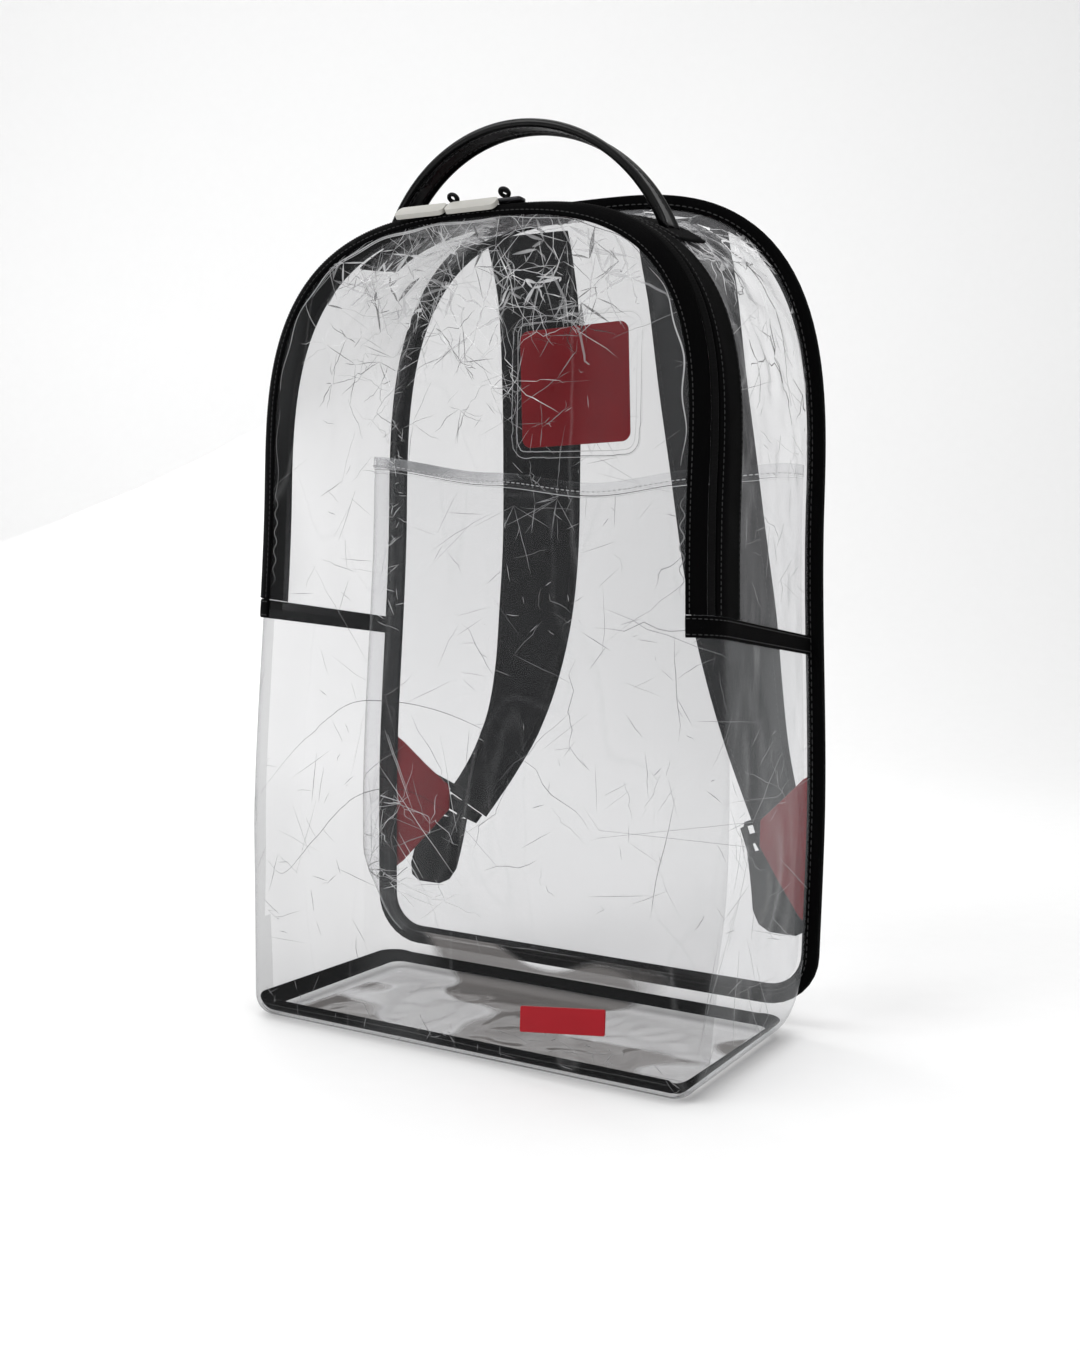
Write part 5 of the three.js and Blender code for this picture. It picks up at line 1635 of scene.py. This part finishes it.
# Sets of random creases: sheet, tone, count, creases from each point, shortest and longest, width, bends, and
# two corners of the box that they start in: x and z are shares of the half width and of the height. The tones
# are painted highlights and painted dark reflections.
CREASE_SETS = (
    ("front", "dark", 16, 1, (14, 46), 0.12, 0, ((-0.92, -77, 0.1), (-0.5, -77, 0.36))),
    ("front", "fine", 26, 1, (10, 40), 0.12, 0, ((-0.92, -77, 0.2), (0.9, -77, 0.8))),
    ("front", "fine", 28, 1, (14, 80), 0.1, 0, ((-0.95, -77, 0.1), (0.9, -77, 0.9))),
    ("back", "fine", 26, 1, (10, 60), 0.12, 0, ((-0.9, 77, 0.1), (0.9, 77, 0.9))),
    ("front", "bright", 170, 5, (5, 34), 0.16, 0, ((-0.74, -77, 0.85), (0.66, -77, 0.97))),
    ("front", "bright", 90, 5, (10, 56), 0.15, 0, ((-0.5, -77, 0.8), (0.5, -77, 0.96))),
    ("front", "bright", 60, 3, (4, 16), 0.6, 0, ((-0.6, -77, 0.88), (0.6, -77, 0.97))),
    ("front", "dark", 90, 4, (6, 26), 0.2, 0, ((-0.7, -77, 0.8), (0.6, -77, 0.95))),
    ("front", "dark", 26, 2, (6, 22), 0.8, 0, ((-0.7, -77, 0.88), (0.6, -77, 0.97))),
    ("front", "fine", 100, 3, (4, 26), 0.18, 0, ((-0.55, -77, 0.74), (0.4, -77, 0.93))),
    ("front", "bright", 60, 1, (3, 11), 0.12, 0, ((-0.32, -77, 0.5), (-0.26, -77, 0.88))),
    ("front", "bright", 44, 1, (3, 12), 0.09, 0, ((0.08, -77, 0.36), (0.52, -77, 0.85))),
    ("front", "glint", 80, 4, (8, 34), 0.6, 0, ((-0.66, -77, 0.84), (0.62, -77, 0.97))),
    ("front", "fine", 16, 1, (40, 120), 0.16, 0, ((1.0, -70, 0.1), (1.0, 60, 0.45))),
    ("gusset", "glint", 60, 3, (12, 44), 1.1, 0, ((0.2, -40, 0.9), (0.9, 66, 1.04))),
    ("gusset", "glint", 30, 3, (12, 40), 1.0, 0, ((-0.8, -40, 0.9), (0.1, 66, 1.04))),
    ("sleeve", "fine", 26, 1, (30, 110), 0.2, 0, ((-0.9, 50, 0.12), (0.9, 50, 0.68))),
    ("front", "dark", 16, 1, (8, 30), 0.14, 0, ((-1.0, -70, 0.05), (-1.0, 60, 0.45))),
    ("front", "fine", 30, 1, (8, 40), 0.16, 0, ((1.0, -70, 0.05), (1.0, 60, 0.45))),
    ("front", "fine", 40, 1, (4, 14), 0.2, 0, ((-0.9, -77, 0.01), (0.9, -77, 0.05))),
    ("gusset", "bright", 170, 5, (6, 38), 0.18, 0, ((0.2, -40, 0.9), (0.8, 66, 1.04))),
    ("gusset", "bright", 120, 5, (6, 34), 0.16, 0, ((-0.8, -40, 0.87), (0.1, 66, 1.04))),
    ("gusset", "bright", 40, 3, (5, 18), 0.7, 0, ((0.3, -30, 0.9), (0.8, 66, 1.04))),
    ("gusset", "dark", 70, 4, (5, 30), 0.3, 0, ((0.4, -30, 0.8), (0.95, 66, 1.02))),
    ("gusset", "fine", 40, 1, (8, 40), 0.14, 0, ((0.95, -30, 0.55), (1.0, 66, 0.9))),
    ("gusset", "fine", 30, 1, (8, 40), 0.14, 0, ((-1.0, -30, 0.55), (-0.95, 66, 0.9))),
    ("sleeve", "fine", 40, 1, (5, 30), 0.16, 0, ((-0.9, 50, 0.12), (0.9, 50, 0.7))),
    ("sleeve", "bright", 70, 4, (6, 34), 0.2, 0, ((-0.97, 50, 0.1), (-0.74, 50, 0.26))),
    ("sleeve", "dark", 24, 3, (5, 24), 0.2, 0, ((-0.97, 50, 0.1), (-0.8, 50, 0.2))),
    ("back", "bright", 80, 4, (6, 50), 0.15, 0, ((-0.42, 77, 0.66), (0.6, 77, 0.98))),
    ("back", "fine", 40, 1, (6, 34), 0.15, 0, ((-0.6, 77, 0.2), (0.7, 77, 0.9))),
    ("base", "fine", 30, 3, (10, 40), 0.18, 0, ((-0.9, -60, 0.0), (0.9, 60, 0.0))),
)
# How light each tone is, and its share of the creases' strength. Bright and glint are painted highlights,
# dark is a painted dark reflection, and fine is a mid-grey that paints light over dark parts and shade over
# light ones
CREASE_PAINTED_TONES = {"dark": (0.06, 1.0), "fine": (0.42, 1.0), "bright": (1.0, 1.5), "glint": (0.95, 0.5)}
# Share of the creases that start at the end of another
LINKED_SHARE = 0.3
# Folds over the right shoulder, drawn as painted highlights and a painted dark reflection: climb and share of
# the gusset's depth at each end, wave and tone
WAVY_FOLDS = (
    (1.93, 0.72, 1.2, 0.74, 2.4, "dark"), (1.95, 0.3, 1.55, 0.42, 1.2, "bright"),
    (1.86, 0.2, 1.8, 0.8, 0.6, "bright"), (1.8, 0.25, 1.88, 0.75, 0.6, "bright"),
)
# Painted highlights and painted dark reflections along the rolled lower edge of the front: turn round the
# roll from 0 to 1, tone and width
ROLL_LINES = (
    (0.12, "dark", 0.4), (0.4, "bright", 0.35), (0.62, "dark", 0.5),
    (0.8, "bright", 0.3), (0.94, "dark", 0.6),
)
# Painted highlights and painted reflections along the inner edge of the zip band: start and end, from the
# left strip (0) over the top (2) to the right strip (4), turn round the face edge, tone and width
BAND_LINES = (
    (1.25, 2.3, 0.1, "bright", 0.4), (1.5, 2.1, 0.04, "bright", 0.3), (1.6, 2.6, 0.13, "dark", 0.3),
    (2.5, 2.95, 0.08, "bright", 0.4), (0.2, 1.2, 0.1, "fine", 0.3), (3.0, 3.8, 0.1, "fine", 0.3),
)
# Painted shade and a painted highlight just below the pocket's hem: distance below its top, tone and width
HEM_LINES = ((HEM_WIDTH + 0.8, "dark", 0.34), (HEM_WIDTH + 1.8, "bright", 0.25))
# Folded edges of the clear frame round the patch, drawn as painted highlights and a painted dark line:
# distance outside it, corner radius, tone and width
FRAME_STEP = 2.0
FRAME_LINES = ((2.5, 7.0, "bright", 0.3), (5.5, 10.0, "dark", 0.3), (6.3, 10.8, "bright", 0.22))
# Height of a crease's edges over its sheet, the most that its crest stands up, and its number of points
CREASE_LIFT = 0.12
CREASE_CREST = 0.35
CREASE_STEPS = 9
# Width of the placed arcs and fan, and of the folds over the shoulder
FRONT_WIDTH = 0.2
FOLD_WIDTH = 0.45


class BACKPACK_OT_creases(bpy.types.Operator):
    """Lays the sharp creases on the clear sheets, with painted highlights and painted dark reflections along
    them
    """

    bl_idname = "backpack.creases"
    bl_label = "Creases"
    bl_options = {"REGISTER", "UNDO"}

    SHEETS = ("front", "gusset", "sleeve", "back", "base")

    def execute(self, _context):
        draw = np.random.default_rng(7)
        trees = {word: self.tree_of(f"{word}_vinyl") for word in self.SHEETS}
        rows = {}
        for word, tone, path, width in (*self.placed(), *self.scattered(draw)):
            rows.setdefault((word, tone), []).append((path, width))
        for (word, tone), paths in rows.items():
            light, strength = CREASE_PAINTED_TONES[tone]
            # Each tone's material paints highlights or dark reflections on its creases
            material = painted_crease_light(f"crease_{tone}", min(looks().crease_paint_share * strength, 1), light)
            piece = self.ribbons(f"{word}_creases_{tone}", trees[word], paths, material)
            finish_piece(piece, "clear_vinyl")
        return {"FINISHED"}

    def placed(self):
        """Creases that the bag has in known places: (sheet, tone, path, width)."""
        for arc in FRONT_ARCS:
            curve = smooth_rows(np.array([(x, FRONT_Y - 4, z) for x, z in arc], float), 60)
            yield "front", "dark", curve, FRONT_WIDTH
        for x0, z0, x1, z1 in FRONT_FAN:
            ends = np.array([(x0, FRONT_Y - 4, z0), (x1, FRONT_Y - 4, z1)], float)
            yield "front", "bright", lerp(ends[0], ends[1], np.linspace(0, 1, 14)[:, None]), FRONT_WIDTH
        edge = np.linspace(-1.6, 1.6, 90)
        side = np.where(edge < 0, -1, 1)
        for turn, tone, width in ROLL_LINES:
            yield "front", tone, skin(side, np.abs(edge), turn + 0.03 * np.sin(edge * 5)), width
        for low, high, turn, tone, width in BAND_LINES:
            stage = 3 + np.linspace(low, high, 60)
            stage, side = np.where(stage > 5, 10 - stage, stage), np.where(stage > 5, 1, -1)
            yield "front", tone, skin(side, stage, turn + 0.04 * np.sin(stage * 40)), width
        low, high = (np.array(corner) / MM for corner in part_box("inner_patch"))
        for margin, radius, tone, width in FRAME_LINES:
            yield "back", tone, self.frame_line(low - margin, high + margin, radius), width
        for drop, tone, width in HEM_LINES:
            z = hem_height(SLEEVE_ACROSS) - drop
            yield "sleeve", tone, leaned(sleeve_point(SLEEVE_ACROSS, z, 1.0, SHEET)), width
        for climb0, share0, climb1, share1, wave, tone in WAVY_FOLDS:
            yield "gusset", tone, self.fold_path(climb0, share0, climb1, share1, wave), FOLD_WIDTH

    def scattered(self, draw):
        """Creases that spread from points, many of which lie at the ends of others."""
        for word, tone, count, spread, (short, long), width, bends, (low, high) in CREASE_SETS:
            ends = []
            for number in range(count):
                if number % spread == 0:
                    linked = ends and spread > 1 and draw.random() < LINKED_SHARE
                    fresh = np.array([draw.uniform(a, b) for a, b in zip(low, high)])
                    fresh = fresh * (FRONT_HALF_WIDTH, 1.0, FRONT_HEIGHT)
                    place = ends[draw.integers(len(ends))] if linked else fresh
                path = self.wander(draw, draw.uniform(short, long), bends, place)
                ends.append(path[-1])
                yield word, tone, path, width * draw.uniform(0.6, 1.6)

    def frame_line(self, low, high, radius):
        """Rounded rectangle between two corners of a box, in the plane of its front."""
        quarter = np.radians(np.linspace(0, 90, 8))
        path = []
        for number, (way_x, way_z) in enumerate(((1, 1), (-1, 1), (-1, -1), (1, -1))):
            x = (high[0] if way_x > 0 else low[0]) - way_x * radius
            z = (high[2] if way_z > 0 else low[2]) - way_z * radius
            for turn in quarter + number * math.pi / 2:
                path.append((x + radius * math.cos(turn), low[1], z + radius * math.sin(turn)))
        path.append(path[0])
        return resample(np.array(path), FRAME_STEP)[0]

    def tree_of(self, name):
        """Search tree over a sheet, in millimetres."""
        mesh = bpy.data.objects[name].data
        points = [vertex.co / MM for vertex in mesh.vertices]
        return BVHTree.FromPolygons(points, [tuple(face.vertices) for face in mesh.polygons])

    def fold_path(self, climb0, share0, climb1, share1, wave):
        """Waved fold across the gusset."""
        t = np.linspace(0, 1, 50)
        climb = lerp(climb0, climb1, t)
        share = lerp(share0, share1, t)
        points = on_arch(
            lambda s: lerp(band_end(s) - TAPE_LAP, wall_end(s), share), 0.0, GAP, climb, np.ones(len(t)),
        )
        points[:, 1] += wave * np.sin(t * 19)
        return leaned(points)

    def wander(self, draw, size, bends, place):
        """Random crease from a place: straight runs with a few bends."""
        heading = draw.normal(size=3)
        heading /= np.linalg.norm(heading)
        corners = [place]
        for _bend in range(bends + 1):
            corners.append(corners[-1] + heading * size / (bends + 1))
            heading = heading + draw.normal(size=3) * 0.45
            heading /= np.linalg.norm(heading)
        t = np.linspace(0, len(corners) - 1, CREASE_STEPS)
        corners = np.array(corners)
        return np.stack([np.interp(t, np.arange(len(corners)), corners[:, axis]) for axis in range(3)], -1)

    def ribbons(self, name, tree, paths, material):
        """Narrow ridges along paths, seated on a sheet and tapering to both ends."""
        points, faces = [], []
        for path, width in paths:
            found = [tree.find_nearest(Vector(p)) for p in path]
            place = np.array([hit[0] for hit in found])
            out = np.array([hit[1] for hit in found])
            along = np.gradient(place, axis=0)
            side = np.cross(along, out)
            size = np.linalg.norm(side, axis=-1, keepdims=True)
            if size.min() < 1e-6:
                continue
            side /= size
            count = len(place)
            taper = np.sin(np.linspace(0.12, math.pi - 0.12, count))[:, None] * width
            start = len(points)
            edge = place + out * CREASE_LIFT * 0.3
            crest = place + out * (CREASE_LIFT + np.minimum(0.5 * taper, CREASE_CREST))
            for step in range(count):
                half = side[step] * taper[step]
                points += [edge[step] - half, crest[step], edge[step] + half]
            for step in range(count - 1):
                low = start + step * 3
                faces += [(low, low + 1, low + 4, low + 3), (low + 1, low + 2, low + 5, low + 4)]
        return new_mesh(name, np.array(points), faces, material)


# Stage

# Paper of the stage in millimetres: where it starts and rises, half its width, its height and its bend
PAPER_NEAR = -2600
PAPER_FAR = 1900
PAPER_HALF = 9000
PAPER_TALL = 4200
PAPER_BEND = 700
# Lamps: name, place, width and height in metres, and share of the main softbox's power
LAMPS = (
    ("key", (-0.9, -1.5, 1.7), 1.5, 1.0, 1.0),
    ("fill", (1.7, -0.9, 0.9), 1.0, 1.4, 0.35),
    ("top", (0.0, 0.2, 2.2), 1.6, 1.2, 0.6),
    ("behind", (-1.4, 1.0, 1.0), 0.6, 1.4, 0.35),
)
LAMP_AIM = (0, 0, 0.25)
# Camera: place in metres, angles in radians, lens in millimetres
CAMERA_PLACE = (0.422687, -0.749431, 0.261083)
CAMERA_AZIMUTH = 0.5054546
CAMERA_PITCH = 0.0615754
CAMERA_ROLL = 0.0297781
CAMERA_LENS = 39.3


class BACKPACK_OT_stage(bpy.types.Operator):
    """Builds the floor, the soft studio light and the camera"""

    bl_idname = "backpack.stage"
    bl_label = "Floor, light and camera"
    bl_options = {"REGISTER", "UNDO"}

    def execute(self, _context):
        self.floor()
        self.lights()
        self.camera()
        return {"FINISHED"}

    def floor(self):
        """Paper that runs towards the camera and bends up behind the bag."""
        turns = np.radians(np.linspace(0, 90, 16))
        start = PAPER_FAR - PAPER_BEND
        curve = [(start + PAPER_BEND * math.sin(a), PAPER_BEND * (1 - math.cos(a))) for a in turns]
        profile = [(PAPER_NEAR, 0), *curve, (PAPER_FAR, PAPER_TALL)]
        points = [(x, y, z) for y, z in profile for x in (-PAPER_HALF, PAPER_HALF)]
        faces = [(2 * i, 2 * i + 1, 2 * i + 3, 2 * i + 2) for i in range(len(profile) - 1)]
        mesh = bpy.data.meshes.new("floor")
        mesh.from_pydata((np.array(points, float) * MM).tolist(), [], faces)
        mesh.polygons.foreach_set("use_smooth", [True] * len(faces))
        floor = bpy.data.objects.new("floor", mesh)
        floor.rotation_euler.z = CAMERA_AZIMUTH
        bpy.context.scene.collection.objects.link(floor)
        material, tree, shader, _end = new_material("floor_paper")
        place = put(tree, "TexCoord").outputs["Object"]
        fibre = put(tree, "TexNoise", {"Vector": place, "Scale": 60.0, "Detail": 5.0})
        tree.links.new(shade(tree, PAPER_LOW, PAPER_HIGH, fibre.outputs["Fac"]), shader.inputs["Base Color"])
        shader.inputs["Roughness"].default_value = 0.9
        shader.inputs["Specular IOR Level"].default_value = 0.1
        mesh.materials.append(material)
        floor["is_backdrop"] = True

    def lights(self):
        """Four soft lamps and a room that is white to the camera and dimmer as a light."""
        world = bpy.data.worlds.new("studio")
        bpy.context.scene.world = world
        world.use_nodes = True
        tree = world.node_tree
        seen = put(tree, "LightPath").outputs["Is Camera Ray"]
        strength = ranged(tree, seen, looks().room_light, 1.0)
        tree.links.new(strength, tree.nodes["Background"].inputs["Strength"])
        tree.nodes["Background"].inputs["Color"].default_value = (1, 1, 1, 1)
        for name, place, wide, tall, share in LAMPS:
            lamp = bpy.data.lights.new(name, "AREA")
            lamp.shape = "RECTANGLE"
            lamp.size, lamp.size_y = wide, tall
            lamp.energy = looks().key_light * share
            light = bpy.data.objects.new(name, lamp)
            light.location = place
            aim = Vector(LAMP_AIM) - Vector(place)
            light.rotation_euler = aim.to_track_quat("-Z", "Y").to_euler()
            bpy.context.scene.collection.objects.link(light)
        bpy.context.scene.view_settings.view_transform = "Standard"

    def camera(self):
        """Camera at the photograph's place and angle."""
        data = bpy.data.cameras.new("camera")
        data.sensor_fit = "VERTICAL"
        data.sensor_height = 36
        data.sensor_width = 36
        data.lens = CAMERA_LENS
        data.clip_end = 20
        camera = bpy.data.objects.new("camera", data)
        a, p, r = CAMERA_AZIMUTH, CAMERA_PITCH, CAMERA_ROLL
        ahead = Vector((-math.sin(a) * math.cos(p), math.cos(a) * math.cos(p), -math.sin(p)))
        level = Vector((math.cos(a), math.sin(a), 0))
        upright = level.cross(ahead)
        right = level * math.cos(r) + upright * math.sin(r)
        up = -level * math.sin(r) + upright * math.cos(r)
        axes = Matrix((right, up, -ahead)).transposed().to_4x4()
        camera.matrix_world = Matrix.Translation(Vector(CAMERA_PLACE)) @ axes
        bpy.context.scene.collection.objects.link(camera)
        bpy.context.scene.camera = camera


def colour(name, description, default):
    return bpy.props.FloatVectorProperty(
        name=name, description=description, default=default, size=3, min=0, max=1, subtype="COLOR",
    )


def share(name, description, default):
    return bpy.props.FloatProperty(
        name=name, description=description, default=default, min=0, max=1, subtype="FACTOR",
    )


def amount(name, description, default, most, **kind):
    return bpy.props.FloatProperty(
        name=name, description=description, default=default, min=0, max=most, **kind,
    )


class BackpackLooks(bpy.types.PropertyGroup):
    """Colours and finish of the bag"""

    tape_colour: colour("Binding", "Colour of the black binding, tapes and handle", (0.0008, 0.0008, 0.0009))
    # The strap's lightest colour is its painted sheen
    pad_colour: colour("Strap", "Lightest colour of the straps' mesh fabric", (0.011, 0.011, 0.0115))
    red_colour: colour("Red", "Colour of the patch, label and tabs", (0.36, 0.004, 0.012))
    pull_colour: colour("Pulls", "Colour of the zip pulls", (0.36, 0.352, 0.325))
    front_clear: share("Front clearness", "Light that the front lets through", 0.74)
    wall_clear: share("Wall clearness", "Light that the other sheets let through", 0.95)
    vinyl_gloss: amount("Vinyl gloss", "Strength of the vinyl's reflections", 1.3, 4)
    # Opacity of the painted white highlight on the fold lines
    fold_highlight_strength: share("Fold lines", "Strength of the vinyl's faint fold lines", 0.04)
    # Opacity of the creases' painted highlights and reflections
    crease_paint_share: share("Creases", "How solid the vinyl's sharp creases look", 0.72)
    room_light: amount("Room light", "Strength of the light from all round", 0.5, 4)
    key_light: amount(
        "Key light", "Power of the main softbox", 23.0, 400, subtype="POWER", unit="POWER",
    )


class BackpackDetails(bpy.types.PropertyGroup):
    """Sizes of the soft detail"""

    crease_depth: amount(
        "Crease depth", "Depth of the folds in the clear sheets", 0.003, 0.01,
        subtype="DISTANCE", unit="LENGTH",
    )
    tail_spread: share("Tail spread", "How much wider the folded tails are", 0.32)
    pad_pressure: amount("Pad pressure", "Pressure that fills the shoulder straps", 4.0, 40)


OPERATORS = (
    BACKPACK_OT_stage, BACKPACK_OT_sheets, BACKPACK_OT_sleeve, BACKPACK_OT_zip, BACKPACK_OT_binding,
    BACKPACK_OT_handle, BACKPACK_OT_straps, BACKPACK_OT_hardware, BACKPACK_OT_patches, BACKPACK_OT_pulls,
    BACKPACK_OT_creases,
)


class BACKPACK_PT_panel(bpy.types.Panel):
    """Lists the steps that build the bag"""

    bl_idname = "BACKPACK_PT_panel"
    bl_label = "Clear backpack"
    bl_space_type = "VIEW_3D"
    bl_region_type = "UI"
    bl_category = "Backpack"

    def draw(self, context):
        for group in (context.scene.backpack_looks, context.scene.backpack_details):
            box = self.layout.box()
            for name in group.__annotations__:
                box.prop(group, name)
        for operator in OPERATORS:
            self.layout.operator(operator.bl_idname)


CLASSES = (BackpackLooks, BackpackDetails, *OPERATORS, BACKPACK_PT_panel)


def register():
    for item in CLASSES:
        bpy.utils.register_class(item)
    bpy.types.Scene.backpack_looks = bpy.props.PointerProperty(type=BackpackLooks)
    bpy.types.Scene.backpack_details = bpy.props.PointerProperty(type=BackpackDetails)


def unregister():
    del bpy.types.Scene.backpack_details
    del bpy.types.Scene.backpack_looks
    for item in reversed(CLASSES):
        bpy.utils.unregister_class(item)


def main():
    register()
    for operator in OPERATORS:
        group, name = operator.bl_idname.split(".")
        getattr(getattr(bpy.ops, group), name)()
    bounds = [[list(corner) for corner in box] for box in (CAD_BOUNDS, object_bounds())]


if __name__ == "__main__":
    main()
